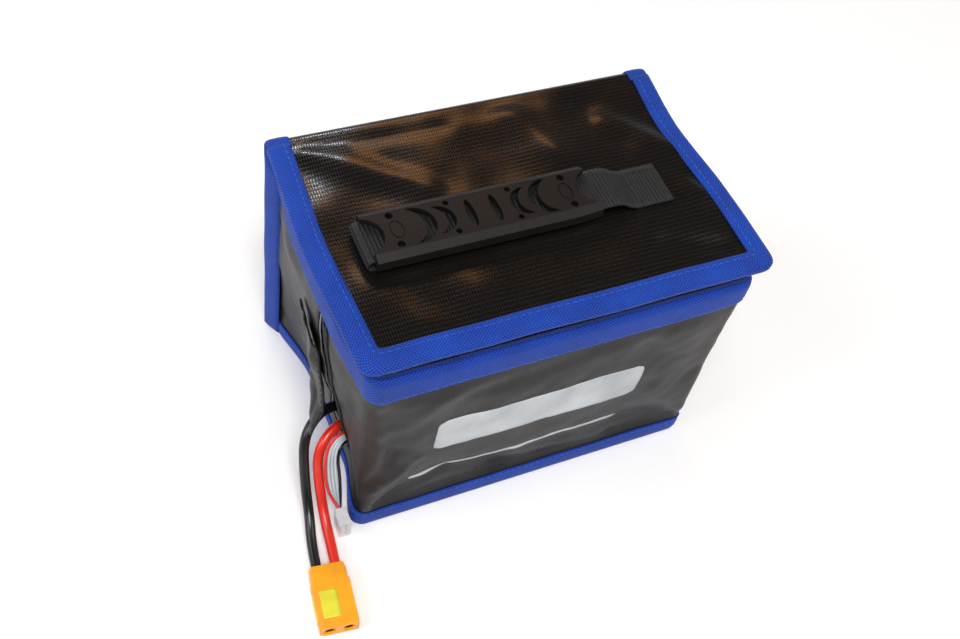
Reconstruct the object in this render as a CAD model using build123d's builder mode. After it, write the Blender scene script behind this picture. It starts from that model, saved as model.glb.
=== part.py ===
"""Padded charging bag for a model aircraft battery, with the battery inside and its leads out of the side port.

Millimetres. X is the bag's width, Y runs from front to back, +Z is up, and the origin is the middle of
the base. The lid opens about its back edge, and the port with its flap is in the left wall, at -X.
"""

import os
from math import cos, pi, radians, sin, tan

from build123d import *

os.makedirs("parts", exist_ok=True)

# ---- driving dimensions ----

BODY_WIDTH = 203.0
BODY_DEPTH = 142.0
BODY_TOP = 141.0
LID_WIDTH = 215.0
LID_FRONT = -73.0
LID_BACK = 64.0
LID_TOP = 156.0
CORNER = 7.0

SKIN = 0.8
FOAM = 2.4
LINING = 0.6
LID_FOAM = 2.0
BOARD = 2.0
TAPE = 1.0
BAND = 11.0
TOP_BAND = 14.0
GAP = 0.4

HALF = BODY_WIDTH / 2
FRONT = -BODY_DEPTH / 2
BACK = BODY_DEPTH / 2
WALL = SKIN + FOAM + LINING
BASE_HALF = HALF - 6.5
BASE_HALF_DEPTH = BACK - 6.5
BOARD_INSET = 13.5
BACK_SKIN = BACK - SKIN

# The port is a slanted slot in the left wall, wider at the bottom where the leads come out.
PORT_BACK = -13.0
PORT_FRONT_TOP = -22.0
PORT_FRONT_LOW = -47.0
PORT_TOP = 124.0
PORT_KNEE = 52.0
PORT_SILL = 31.0

# The flap is sewn along a line behind the port that leans back like the port does.
FLAP_HINGE_X = -HALF - 1.0
FLAP_HINGE_Y = -4.0
FLAP_HINGE_Z = 48.0
FLAP_LEAN = 16.0
FLAP_WIDTH = 31.0
FLAP_LENGTH = 56.0
FLAP_THICK = 1.2
FLAP_OPEN = 16.0
LOOP_TAPE = 10.0

ZIP_LINE = HALF - 2.0
ZIP_FRONT = FRONT + 2.0
ZIP_TAPE = 0.6
COIL = 2.0
LOWER_COIL_TOP = 146.2
UPPER_COIL_LOW = 147.8
COIL_HEIGHT = 1.4
LID_UNDER = 151.6
ZIP_END = 66.0
UPPER_COIL_END = 49.0
SLIDER_Y = 57.0
SLIDER_LENGTH = 11.0

STRAP_WIDTH = 25.0
STRAP = 1.6
HANDLE_Y = -9.0
STRAP_MID = 163.0
STRAP_LEFT = -84.0
STRAP_BEND = 37.0
STRAP_FOOT = 56.0
STRAP_END = 76.0
GRIP_LEFT = -84.5
GRIP_LENGTH = 118.0
GRIP_WIDTH = 30.0
GRIP_LOW = 159.2
GRIP_TOP = 167.2

BATTERY_LEFT = -62.0
BATTERY_LENGTH = 155.0
BATTERY_Y = -20.0
BATTERY_WIDTH = 48.0
BATTERY_HEIGHT = 38.0
FLOOR_TOP = TAPE - 0.2 + BOARD + LINING
CELLS = 4
CAP = 6.0
WRAP = 0.4

LEAD = 5.5
BALANCE = 1.7
BALANCE_PITCH = 2.5
PLUG_LENGTH = 9.8
PLUG_WIDTH = 14.8
PLUG_THICK = 5.75
LEAD_PITCH = 10.0
CONNECTOR_X = -123.4
CONNECTOR_Y = -90.5
CONNECTOR_Z = 5.4
CONNECTOR_TURN = 7.0
SOCKET_RADIUS = 2.25


def finish(part, name):
    """Labels one finished sub-part and writes it."""
    part.part.label = name
    export_step(part.part, f"parts/{name}.step")


def u_plan(half, front, back, radius, thickness):
    """Adds to a sketch the plan of a wall round the left, front and right, open at the back."""
    middle = (front + back) / 2
    with BuildSketch(mode=Mode.PRIVATE) as outer:
        with Locations((0, middle)):
            Rectangle(2 * half, back - front)
        fillet(outer.vertices().group_by(Axis.Y)[0], radius)
    with BuildSketch(mode=Mode.PRIVATE) as inner:
        with Locations((0, middle + thickness / 2)):
            Rectangle(2 * (half - thickness), back - front - thickness)
        if radius > thickness + 0.2:
            fillet(inner.vertices().group_by(Axis.Y)[0], radius - thickness)
    add(outer.sketch)
    add(inner.sketch, mode=Mode.SUBTRACT)


def u_wall(half, front, back, radius, thickness, low, high, mode=Mode.ADD):
    """Stands a three-sided wall between two heights in the part being built."""
    with BuildSketch(Plane.XY.offset(low)) as plan:
        u_plan(half, front, back, radius, thickness)
    extrude(plan.sketch, amount=high - low, mode=mode)


def block(x0, x1, y0, y1, z0, z1, mode=Mode.ADD):
    """A straight piece of sheet, board or tape between two corners."""
    with BuildSketch(Plane.XY.offset(z0)) as plan:
        with Locations(((x0 + x1) / 2, (y0 + y1) / 2)):
            Rectangle(x1 - x0, y1 - y0)
    extrude(plan.sketch, amount=z1 - z0, mode=mode)


def cut_port():
    """Cuts the port through whatever stands at the left wall."""
    with BuildSketch(Plane.YZ.offset(-HALF - 3)) as outline:
        with BuildLine():
            Polyline(
                (PORT_BACK, PORT_SILL),
                (PORT_BACK, PORT_TOP),
                (PORT_FRONT_TOP, PORT_TOP),
                (PORT_FRONT_LOW, PORT_KNEE),
                (PORT_FRONT_LOW, PORT_SILL),
                close=True,
            )
        make_face()
    extrude(outline.sketch, amount=WALL + 4, mode=Mode.SUBTRACT)


def corner_radii(points):
    """One radius for each corner of a route: as large as its two runs allow."""
    radii = []
    for before, here, after in zip(points, points[1:], points[2:]):
        run_in = Vector(*here) - Vector(*before)
        run_out = Vector(*after) - Vector(*here)
        turn = radians(run_in.get_angle(run_out))
        radii.append(0.45 * min(run_in.length, run_out.length) / tan(turn / 2))
    return radii


def lead(name, points, diameter):
    """A plain tube along a cord's route, with its bend radii printed."""
    radii = corner_radii(points)
    with BuildPart() as tube:
        with BuildLine() as route:
            FilletPolyline(*points, radius=radii)
        start = Vector(*points[0])
        with BuildSketch(Plane(origin=start, z_dir=Vector(*points[1]) - start)):
            Circle(diameter / 2)
        sweep()
    length = sum(edge.length for edge in route.edges())
    section = pi * diameter**2 / 4
    print(
        name,
        "length", round(length, 1),
        "volume share", round(tube.part.volume / (section * length), 4),
        "smallest radius", round(min(radii), 1),
    )
    finish(tube, name)


# ---- bag: base and walls ----

with BuildPart() as bottom_panel:
    block(-BASE_HALF, BASE_HALF, -BASE_HALF_DEPTH, BASE_HALF_DEPTH, 0, SKIN)
finish(bottom_panel, "bottom_panel")

with BuildPart() as bottom_binding:
    with BuildSketch():
        Rectangle(BODY_WIDTH + 2 * TAPE, BODY_DEPTH + 2 * TAPE)
        Rectangle(2 * BASE_HALF, 2 * BASE_HALF_DEPTH, mode=Mode.SUBTRACT)
    extrude(amount=SKIN)
    with BuildSketch(Plane.XY.offset(SKIN)):
        Rectangle(BODY_WIDTH + 2 * TAPE, BODY_DEPTH + 2 * TAPE)
        Rectangle(BODY_WIDTH, BODY_DEPTH, mode=Mode.SUBTRACT)
    extrude(amount=BAND - SKIN)
finish(bottom_binding, "bottom_binding")

with BuildPart() as base_board:
    block(-HALF + BOARD_INSET, HALF - BOARD_INSET, FRONT + WALL + 4, BACK - WALL - 4, SKIN, SKIN + BOARD)
finish(base_board, "base_board")

with BuildPart() as outer_skin:
    u_wall(HALF, FRONT, BACK_SKIN, CORNER, SKIN, SKIN, BODY_TOP)
    cut_port()
finish(outer_skin, "outer_skin")

with BuildPart() as back_panel:
    block(-HALF, HALF, BACK_SKIN, BACK, SKIN, BAND + GAP)
    block(-HALF - 5, HALF + 5, BACK_SKIN, BACK, BAND + GAP, LID_TOP - 6)
finish(back_panel, "back_panel")

with BuildPart() as front_pad:
    block(-HALF + CORNER + 1, HALF - CORNER - 1, FRONT + SKIN, FRONT + SKIN + FOAM, SKIN, BODY_TOP - 1)
finish(front_pad, "front_pad")

with BuildPart() as back_pad:
    block(-HALF + WALL, HALF - WALL, BACK_SKIN - FOAM, BACK_SKIN, SKIN + BOARD, BODY_TOP - 1)
finish(back_pad, "back_pad")

with BuildPart() as right_pad:
    block(HALF - SKIN - FOAM, HALF - SKIN, FRONT + CORNER + 1, BACK_SKIN, SKIN, BODY_TOP - 1)
finish(right_pad, "right_pad")

with BuildPart() as left_pad:
    block(-HALF + SKIN, -HALF + SKIN + FOAM, FRONT + CORNER + 1, BACK_SKIN, SKIN, BODY_TOP - 1)
    cut_port()
finish(left_pad, "left_pad")

INNER = HALF - SKIN - FOAM
with BuildPart() as lining:
    u_wall(INNER, FRONT + SKIN + FOAM, BACK_SKIN - FOAM, CORNER - SKIN - FOAM, LINING, SKIN + BOARD, BODY_TOP)
    block(-INNER + LINING, INNER - LINING, BACK_SKIN - FOAM - LINING, BACK_SKIN - FOAM, SKIN + BOARD, BODY_TOP)
    block(-INNER + 4, INNER - 4, FRONT + WALL, BACK_SKIN - FOAM - LINING, SKIN + BOARD, FLOOR_TOP)
    block(-INNER + LINING, INNER - LINING, FRONT + WALL + 4, BACK_SKIN - FOAM - LINING, SKIN + BOARD, FLOOR_TOP)
    cut_port()
finish(lining, "lining")

with BuildPart() as body_top_binding:
    inner_leg = WALL + 2 * TAPE
    u_wall(HALF + TAPE, FRONT - TAPE, BACK_SKIN - FOAM - LINING, CORNER + TAPE, inner_leg, BODY_TOP - TOP_BAND, BODY_TOP + TAPE)
    u_wall(HALF, FRONT, BACK, CORNER, WALL, BODY_TOP - TOP_BAND - 1, BODY_TOP, mode=Mode.SUBTRACT)
finish(body_top_binding, "body_top_binding")

for side, name in ((-1, "rear_edge_binding_left"), (1, "rear_edge_binding_right")):
    with BuildPart() as rear_edge_binding:
        inner_x = side * (HALF - 5)
        outer_x = side * LID_WIDTH / 2
        block(min(inner_x, outer_x), max(inner_x, outer_x), BACK, BACK + TAPE, BAND + GAP, LID_TOP - 6)
        rim = side * (HALF + 5)
        block(min(rim, outer_x), max(rim, outer_x), BACK_SKIN - TAPE, BACK, BAND + GAP, LID_TOP - 6)
        wall_x = side * (HALF + TAPE + GAP)
        block(min(wall_x, rim), max(wall_x, rim), BACK_SKIN - TAPE, BACK_SKIN, BAND + GAP, LID_TOP - 6)
    finish(rear_edge_binding, name)

# ---- lid ----

with BuildPart() as lid_skin:
    block(-LID_WIDTH / 2 + TAPE, LID_WIDTH / 2 - TAPE, LID_FRONT + TAPE, LID_BACK, LID_TOP - SKIN, LID_TOP)
finish(lid_skin, "lid_skin")

LID_FOAM_LOW = LID_TOP - SKIN - LID_FOAM
with BuildPart() as lid_pad:
    block(-LID_WIDTH / 2 + TAPE, LID_WIDTH / 2 - TAPE, LID_FRONT + TAPE, LID_BACK, LID_FOAM_LOW, LID_TOP - SKIN)
finish(lid_pad, "lid_pad")

LID_LOW = LID_FOAM_LOW - LINING
with BuildPart() as lid_lining:
    block(-LID_WIDTH / 2 + TAPE, LID_WIDTH / 2 - TAPE, LID_FRONT + TAPE, LID_BACK, LID_LOW, LID_FOAM_LOW)
finish(lid_lining, "lid_lining")

with BuildPart() as lid_binding:
    u_wall(LID_WIDTH / 2, LID_FRONT, LID_BACK, 3.0, BAND, LID_UNDER, LID_TOP + TAPE)
    block(
        -LID_WIDTH / 2 + TAPE, LID_WIDTH / 2 - TAPE, LID_FRONT + TAPE, LID_BACK,
        LID_LOW, LID_TOP, mode=Mode.SUBTRACT,
    )
finish(lid_binding, "lid_binding")

# The one sheet of skin folds here from the back panel into the lid, so it bends as the lid opens.
with BuildPart() as lid_fold:
    half_fold = LID_WIDTH / 2 - TAPE
    block(-half_fold, half_fold, LID_BACK, BACK, LID_TOP - SKIN, LID_TOP)
    block(-half_fold, half_fold, BACK_SKIN, BACK, LID_TOP - 6, LID_TOP - SKIN)
finish(lid_fold, "lid_fold")

# ---- zip ----

with BuildPart() as zip_tape_lower:
    u_wall(
        ZIP_LINE + ZIP_TAPE / 2, ZIP_FRONT - ZIP_TAPE / 2, ZIP_END, CORNER - 2, ZIP_TAPE,
        BODY_TOP + TAPE, LOWER_COIL_TOP - COIL_HEIGHT,
    )
finish(zip_tape_lower, "zip_tape_lower")

with BuildPart() as zip_coil_lower:
    u_wall(
        ZIP_LINE + COIL / 2, ZIP_FRONT - COIL / 2, ZIP_END, CORNER - 1, COIL,
        LOWER_COIL_TOP - COIL_HEIGHT, LOWER_COIL_TOP,
    )
finish(zip_coil_lower, "zip_coil_lower")

with BuildPart() as zip_tape_upper:
    u_wall(
        ZIP_LINE + ZIP_TAPE / 2, ZIP_FRONT - ZIP_TAPE / 2, UPPER_COIL_END, CORNER - 2, ZIP_TAPE,
        UPPER_COIL_LOW + COIL_HEIGHT, LID_UNDER,
    )
finish(zip_tape_upper, "zip_tape_upper")

with BuildPart() as zip_coil_upper:
    u_wall(
        ZIP_LINE + COIL / 2, ZIP_FRONT - COIL / 2, UPPER_COIL_END, CORNER - 1, COIL,
        UPPER_COIL_LOW, UPPER_COIL_LOW + COIL_HEIGHT,
    )
finish(zip_coil_upper, "zip_coil_upper")

# Metal stops crimped on the ends of the lower chain.
with BuildPart() as zip_stops:
    for stop_x in (-ZIP_LINE, ZIP_LINE):
        block(stop_x - 1.4, stop_x + 1.4, ZIP_END, ZIP_END + 2.5, BODY_TOP + TAPE + 1.2, LOWER_COIL_TOP + 0.2)
finish(zip_stops, "zip_stops")

SLIDER_IN = ZIP_LINE - COIL / 2 - GAP
SLIDER_OUT = ZIP_LINE + COIL / 2 + GAP
SLIDER_LOW = BODY_TOP + TAPE + 0.9
SLIDER_HIGH = LID_UNDER - 0.5
SLIDER_MID = (LOWER_COIL_TOP + UPPER_COIL_LOW) / 2
PLATE = 1.4
with BuildPart() as zip_slider:
    with BuildSketch(Plane.YZ.offset(SLIDER_IN - PLATE)):
        with Locations((SLIDER_Y, SLIDER_MID - 0.1)):
            SlotOverall(SLIDER_LENGTH, SLIDER_HIGH - SLIDER_LOW, mode=Mode.ADD)
    extrude(amount=SLIDER_OUT - SLIDER_IN + 2 * PLATE)
    with BuildSketch(Plane.XZ.offset(-SLIDER_Y - SLIDER_LENGTH)):
        with Locations((ZIP_LINE, SLIDER_MID - 0.1)):
            Rectangle(SLIDER_OUT - SLIDER_IN, SLIDER_HIGH - SLIDER_LOW - 2 * 1.1)
            Rectangle(ZIP_TAPE + 2 * GAP, SLIDER_HIGH - SLIDER_LOW + 1)
    extrude(amount=2 * SLIDER_LENGTH, mode=Mode.SUBTRACT)
    # The wedge that parts the two coils.
    block(
        SLIDER_IN, SLIDER_OUT, SLIDER_Y - 1.5, SLIDER_Y + 1.5,
        LOWER_COIL_TOP + 0.3, UPPER_COIL_LOW - 0.3,
    )
    # The bridge on the outside that the pull hangs from.
    bridge_x = SLIDER_OUT + PLATE
    block(bridge_x, bridge_x + 2.6, SLIDER_Y - 3.5, SLIDER_Y + 3.5, SLIDER_MID - 1.6, SLIDER_MID + 1.6)
    with BuildSketch(Plane.XZ.offset(-SLIDER_Y - 5)):
        with Locations((bridge_x + 1.2, SLIDER_MID)):
            Circle(0.85)
    extrude(amount=10, mode=Mode.SUBTRACT)
    block(bridge_x, bridge_x + 3, SLIDER_Y - 1.8, SLIDER_Y + 1.8, SLIDER_MID - 2, SLIDER_MID + 2, mode=Mode.SUBTRACT)
finish(zip_slider, "zip_slider")

PULL_X = SLIDER_OUT + PLATE + 1.2
with BuildPart() as zip_pull:
    with BuildSketch(Plane.XZ.offset(-SLIDER_Y - 4.2)):
        with Locations((PULL_X, SLIDER_MID)):
            Circle(0.8)
    extrude(amount=8.4)
    block(PULL_X - 0.6, PULL_X + 0.6, SLIDER_Y - 1.4, SLIDER_Y + 1.4, SLIDER_MID - 8, SLIDER_MID)
    with BuildSketch(Plane.YZ.offset(PULL_X - 0.6)):
        with Locations((SLIDER_Y, SLIDER_MID - 19)):
            SlotOverall(24, 7, rotation=90)
        with Locations((SLIDER_Y, SLIDER_MID - 25)):
            SlotOverall(7, 3, rotation=90, mode=Mode.SUBTRACT)
    extrude(amount=1.2)
finish(zip_pull, "zip_pull")

# ---- handle on the lid ----

STRAP_LOW = STRAP_MID - STRAP / 2
STRAP_HIGH = STRAP_MID + STRAP / 2
HANDLE_FRONT = HANDLE_Y - STRAP_WIDTH / 2
HANDLE_BACK = HANDLE_Y + STRAP_WIDTH / 2

with BuildPart() as strap_tab_left:
    block(STRAP_LEFT, STRAP_LEFT + 20, HANDLE_FRONT, HANDLE_BACK, LID_TOP, LID_TOP + STRAP)
finish(strap_tab_left, "strap_tab_left")

with BuildPart() as strap_tab_right:
    block(STRAP_FOOT, STRAP_END, HANDLE_FRONT, HANDLE_BACK, LID_TOP, LID_TOP + STRAP)
finish(strap_tab_right, "strap_tab_right")

CURL = (STRAP_HIGH - LID_TOP) / 2
with BuildPart() as handle_strap:
    with BuildSketch(Plane.XZ.offset(-HANDLE_BACK)):
        with BuildLine():
            Line((STRAP_LEFT, STRAP_HIGH), (STRAP_BEND, STRAP_HIGH))
            Line((STRAP_BEND, STRAP_HIGH), (STRAP_FOOT, LID_TOP + STRAP))
            Line((STRAP_FOOT, LID_TOP + STRAP), (STRAP_FOOT, LID_TOP))
            Line((STRAP_FOOT, LID_TOP), (STRAP_FOOT - 1, LID_TOP))
            Line((STRAP_FOOT - 1, LID_TOP), (STRAP_BEND - 1, STRAP_LOW))
            Line((STRAP_BEND - 1, STRAP_LOW), (STRAP_LEFT, STRAP_LOW))
            ThreePointArc(
                (STRAP_LEFT, STRAP_LOW),
                (STRAP_LEFT - CURL + STRAP, LID_TOP + CURL),
                (STRAP_LEFT, LID_TOP + STRAP),
            )
            Line((STRAP_LEFT, LID_TOP + STRAP), (STRAP_LEFT, LID_TOP))
            ThreePointArc(
                (STRAP_LEFT, LID_TOP),
                (STRAP_LEFT - CURL, LID_TOP + CURL),
                (STRAP_LEFT, STRAP_HIGH),
            )
        make_face()
    extrude(amount=STRAP_WIDTH)
finish(handle_strap, "handle_strap")

GRIP_MID = GRIP_LEFT + GRIP_LENGTH / 2
GRIP_HALF = GRIP_LENGTH / 2
with BuildPart() as handle_grip:
    with BuildSketch(Plane.XY.offset(GRIP_LOW)) as outline:
        with Locations((GRIP_MID, HANDLE_Y)):
            Rectangle(GRIP_LENGTH, GRIP_WIDTH)
        chamfer(outline.vertices(), length=14, length2=1.2)
    extrude(amount=GRIP_TOP - GRIP_LOW)
    long_edges = handle_grip.edges().filter_by(GeomType.LINE).group_by(Axis.Z)[-1]
    chamfer(long_edges.filter_by(Axis.X), length=2.6, length2=3.6)
    # The channel that the webbing runs through.
    block(
        GRIP_LEFT - 1, GRIP_LEFT + GRIP_LENGTH + 1, HANDLE_FRONT - GAP, HANDLE_BACK + GAP,
        STRAP_LOW - GAP, STRAP_HIGH + GAP, mode=Mode.SUBTRACT,
    )
    # Vent cut-outs in the top wall, the same towards both ends.
    with BuildSketch(Plane.XY.offset(STRAP_HIGH + GAP - 0.2)):
        for end in (-1, 1):
            end_x = GRIP_MID + end * GRIP_HALF
            with Locations((end_x + end * 1.5, HANDLE_Y)):
                Circle(10.5)
            with Locations((end_x - end * 14.5, HANDLE_Y + 8.6), (end_x - end * 14.5, HANDLE_Y - 8.6)):
                Circle(1.9)
            with Locations((end_x - end * 43, HANDLE_Y + 8.8), (end_x - end * 43, HANDLE_Y - 8.8)):
                Circle(1.5)
            for inset, size, shift in ((24.5, 10.4, 6.0), (36.5, 8.2, 5.0)):
                with BuildSketch(mode=Mode.PRIVATE) as crescent:
                    with Locations((end_x - end * inset, HANDLE_Y)):
                        Circle(size)
                    with Locations((end_x - end * (inset - shift), HANDLE_Y)):
                        Circle(size + 0.6, mode=Mode.SUBTRACT)
                add(crescent.sketch)
            with Locations((GRIP_MID + end * 6.3, HANDLE_Y)):
                Ellipse(2.1, 8.2)
    extrude(amount=GRIP_TOP - STRAP_HIGH, mode=Mode.SUBTRACT)
    # A shallow engraved oval beside each end.
    with BuildSketch(Plane.XY.offset(GRIP_TOP - 0.5)):
        for end in (-1, 1):
            with Locations((GRIP_MID + end * (GRIP_HALF - 15.5), HANDLE_Y)):
                Ellipse(3.4, 5.4)
                Ellipse(2.7, 4.7, mode=Mode.SUBTRACT)
    extrude(amount=1, mode=Mode.SUBTRACT)
finish(handle_grip, "handle_grip")

# ---- port flap, ajar ----

lean = radians(FLAP_LEAN)
ajar = radians(FLAP_OPEN)
flap_plane = Plane(
    origin=(FLAP_HINGE_X, FLAP_HINGE_Y, FLAP_HINGE_Z),
    x_dir=(-sin(ajar), -cos(ajar) * cos(lean), cos(ajar) * sin(lean)),
    z_dir=(0, sin(lean), cos(lean)),
)
with BuildPart() as port_flap:
    with BuildSketch(flap_plane):
        with Locations((FLAP_WIDTH / 2, -FLAP_THICK / 2 + 0.2)):
            Rectangle(FLAP_WIDTH, FLAP_THICK)
    extrude(amount=FLAP_LENGTH)
finish(port_flap, "port_flap")

with BuildPart() as flap_loop_tape:
    with BuildSketch(flap_plane.offset(4)):
        with Locations((FLAP_WIDTH - 6.5, 0.7)):
            Rectangle(LOOP_TAPE, 1.0)
    extrude(amount=FLAP_LENGTH - 8)
finish(flap_loop_tape, "flap_loop_tape")

# The mating tape on the bag, in front of the port.
with BuildPart() as port_hook_tape:
    with BuildSketch(Plane.YZ.offset(-HALF - 0.8)):
        with BuildLine():
            Polyline(
                (PORT_FRONT_TOP - 1, PORT_TOP),
                (PORT_FRONT_TOP - 9, PORT_TOP),
                (PORT_FRONT_LOW - 3, PORT_KNEE + 22),
                (PORT_FRONT_LOW + 7, PORT_KNEE + 22),
                close=True,
            )
        make_face()
    extrude(amount=0.8)
finish(port_hook_tape, "port_hook_tape")

# ---- battery ----

BATTERY_RIGHT = BATTERY_LEFT + BATTERY_LENGTH
BATTERY_FRONT = BATTERY_Y - BATTERY_WIDTH / 2
BATTERY_BACK = BATTERY_Y + BATTERY_WIDTH / 2
BATTERY_TOP = FLOOR_TOP + BATTERY_HEIGHT
CELL_LEFT = BATTERY_LEFT + CAP + 6
CELL_RIGHT = BATTERY_RIGHT - 2 * WRAP
CELL_THICK = 8.2
CELL_GAP = (BATTERY_HEIGHT - 2 * WRAP - 2 * 1.2 - CELLS * CELL_THICK) / (CELLS - 1)

with BuildPart() as battery_wrap:
    block(BATTERY_LEFT + CAP, BATTERY_RIGHT, BATTERY_FRONT, BATTERY_BACK, FLOOR_TOP, BATTERY_TOP)
    fillet(battery_wrap.edges().filter_by(Axis.X), 2.5)
    block(
        BATTERY_LEFT + CAP - 1, BATTERY_RIGHT - WRAP, BATTERY_FRONT + WRAP, BATTERY_BACK - WRAP,
        FLOOR_TOP + WRAP + 1.2, BATTERY_TOP - WRAP - 1.2, mode=Mode.SUBTRACT,
    )
finish(battery_wrap, "battery_wrap")

with BuildPart() as lead_end_cap:
    block(BATTERY_LEFT, BATTERY_LEFT + CAP, BATTERY_FRONT, BATTERY_BACK, FLOOR_TOP, BATTERY_TOP)
    fillet(lead_end_cap.edges().filter_by(Axis.X), 2.5)
    fillet(lead_end_cap.faces().sort_by(Axis.X)[0].edges(), 1.5)
finish(lead_end_cap, "lead_end_cap")

CELL_LOW = FLOOR_TOP + WRAP + 1.2
for index in range(CELLS):
    low = CELL_LOW + index * (CELL_THICK + CELL_GAP)
    with BuildPart() as cell:
        block(CELL_LEFT, CELL_RIGHT, BATTERY_FRONT + 2.5, BATTERY_BACK - 2.5, low, low + CELL_THICK)
        fillet(cell.edges().filter_by(Axis.Z), 2.0)
    finish(cell, f"cell_{index + 1}")

with BuildPart() as cell_spacers:
    for index in range(CELLS - 1):
        low = CELL_LOW + CELL_THICK + index * (CELL_THICK + CELL_GAP)
        block(CELL_LEFT + 8, CELL_RIGHT - 4, BATTERY_FRONT + 5, BATTERY_BACK - 5, low, low + CELL_GAP)
finish(cell_spacers, "cell_spacers")

with BuildPart() as cell_tabs:
    for index in range(CELLS):
        low = CELL_LOW + index * (CELL_THICK + CELL_GAP) + CELL_THICK / 2 - 0.1
        for tab_y in (BATTERY_Y - 12, BATTERY_Y + 12):
            block(CELL_LEFT - 3.5, CELL_LEFT, tab_y - 6, tab_y + 6, low, low + 0.2)
finish(cell_tabs, "cell_tabs")

with BuildPart() as balance_board:
    block(
        CELL_LEFT - 5.1, CELL_LEFT - 3.5, BATTERY_FRONT + 4, BATTERY_BACK - 4,
        FLOOR_TOP + 3, BATTERY_TOP - 3,
    )
finish(balance_board, "balance_board")

# ---- leads ----

turn = radians(CONNECTOR_TURN)
AHEAD = Vector(-sin(turn), -cos(turn), 0)
ASIDE = Vector(-cos(turn), sin(turn), 0)
CONNECTOR = Vector(CONNECTOR_X, CONNECTOR_Y, CONNECTOR_Z)


def into_connector(side, back, rise):
    """The last two points of a main lead: straight in along the connector's axis."""
    end = CONNECTOR + ASIDE * (side * LEAD_PITCH / 2)
    before = end - AHEAD * back + Vector(0, 0, rise)
    return [tuple(before), tuple(end)]


BLACK_ROUTE = [
    (-62.0, -21.0, 26.0),
    (-73.0, -20.8, 28.0),
    (-85.5, -20.6, 36.7),
    (-96.5, -20.8, 44.8),
    (-105.3, -23.7, 47.0),
    (-113.2, -28.8, 45.2),
    (-118.4, -34.9, 39.6),
    (-120.5, -42.8, 29.0),
    (-121.9, -51.6, 18.0),
    (-123.4, -62.8, 9.6),
] + into_connector(1, 13.5, 0.8)

RED_ROUTE = [
    (-62.0, -31.0, 25.0),
    (-72.0, -30.4, 26.8),
    (-82.0, -29.6, 34.2),
    (-90.8, -29.3, 40.6),
    (-99.7, -31.8, 42.4),
    (-107.7, -36.2, 40.1),
    (-112.8, -41.5, 34.2),
    (-114.2, -47.4, 24.6),
    (-115.0, -56.0, 14.6),
    (-116.0, -66.8, 7.9),
] + into_connector(-1, 13.0, 0.4)

# The middle balance wire's route, with each point's step from one wire to the next.
BALANCE_ROUTE = [
    ((-62.0, -40.0, 20.0), (0.0, 0.0, 2.2)),
    ((-71.0, -39.6, 24.0), (0.0, 0.0, 2.5)),
    ((-79.5, -38.8, 30.4), (0.0, 0.0, 2.6)),
    ((-87.0, -38.2, 36.4), (-0.1, 0.0, 2.6)),
    ((-93.0, -38.4, 40.8), (-0.5, 0.0, 2.4)),
    ((-99.4, -39.3, 42.3), (-1.0, 0.0, 2.2)),
    ((-104.5, -42.6, 40.2), (-1.5, 0.0, 1.9)),
    ((-106.9, -46.2, 34.6), (-1.8, 0.0, 1.5)),
    ((-107.4, -50.3, 26.0), (-2.0, 0.0, 0.5)),
    ((-107.5, -54.6, 17.2), (-1.9, 0.0, 1.2)),
    ((-107.4, -59.2, 10.4), (-1.2, 0.0, 2.4)),
    ((-107.4, -65.0, 7.7), (0.0, 0.0, BALANCE_PITCH)),
]
BALANCE_WIRES = 5

lead("main_lead_black", BLACK_ROUTE, LEAD)
lead("main_lead_red", RED_ROUTE, LEAD)
for index in range(BALANCE_WIRES):
    steps = index - (BALANCE_WIRES - 1) / 2
    route = [tuple(Vector(*point) + Vector(*step) * steps) for point, step in BALANCE_ROUTE]
    lead(f"balance_wire_{index + 1}", route, BALANCE)

# ---- balance plug ----

PLUG_X = BALANCE_ROUTE[-1][0][0]
PLUG_Y = BALANCE_ROUTE[-1][0][1]
PLUG_Z = BALANCE_ROUTE[-1][0][2]
wire_heights = [PLUG_Z + (index - 2) * BALANCE_PITCH for index in range(BALANCE_WIRES)]

with BuildPart() as balance_plug:
    with BuildSketch(Plane.XZ.offset(-PLUG_Y)):
        with Locations((PLUG_X, PLUG_Z)):
            Rectangle(PLUG_THICK, PLUG_WIDTH)
    extrude(amount=PLUG_LENGTH)
    with BuildSketch(Plane.XZ.offset(-PLUG_Y + PLUG_LENGTH - 8)):
        for height in wire_heights:
            with Locations((PLUG_X, height)):
                Rectangle(1.6, 1.6)
    extrude(amount=8, mode=Mode.SUBTRACT)
    # The open windows where each crimp's tongue locks.
    with BuildSketch(Plane.YZ.offset(PLUG_X - PLUG_THICK / 2)):
        for height in wire_heights:
            with Locations((PLUG_Y - 4.6, height)):
                Rectangle(2.6, 1.4)
    extrude(amount=1.4, mode=Mode.SUBTRACT)
    # The two guide ribs along the keyed side.
    for rib_z in (PLUG_Z - 5.6, PLUG_Z + 5.6):
        block(PLUG_X - 3.5, PLUG_X - PLUG_THICK / 2, PLUG_Y - PLUG_LENGTH, PLUG_Y - 2, rib_z - 0.5, rib_z + 0.5)
finish(balance_plug, "balance_plug")

with BuildPart() as balance_terminals:
    with BuildSketch(Plane.XZ.offset(-PLUG_Y + PLUG_LENGTH - 7.6)):
        for height in wire_heights:
            with Locations((PLUG_X, height)):
                Rectangle(1.3, 1.3)
                Rectangle(0.7, 0.7, mode=Mode.SUBTRACT)
    extrude(amount=7.4)
finish(balance_terminals, "balance_terminals")

# ---- power connector ----

BODY_LENGTH = 25.0
CAP_LENGTH = 9.0
CONNECTOR_WIDE = 20.0
CONNECTOR_HIGH = 10.2
rear = Plane(origin=CONNECTOR, x_dir=ASIDE, z_dir=AHEAD)
shoulder = rear.offset(CAP_LENGTH)
nose = rear.offset(CAP_LENGTH + BODY_LENGTH)

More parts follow.
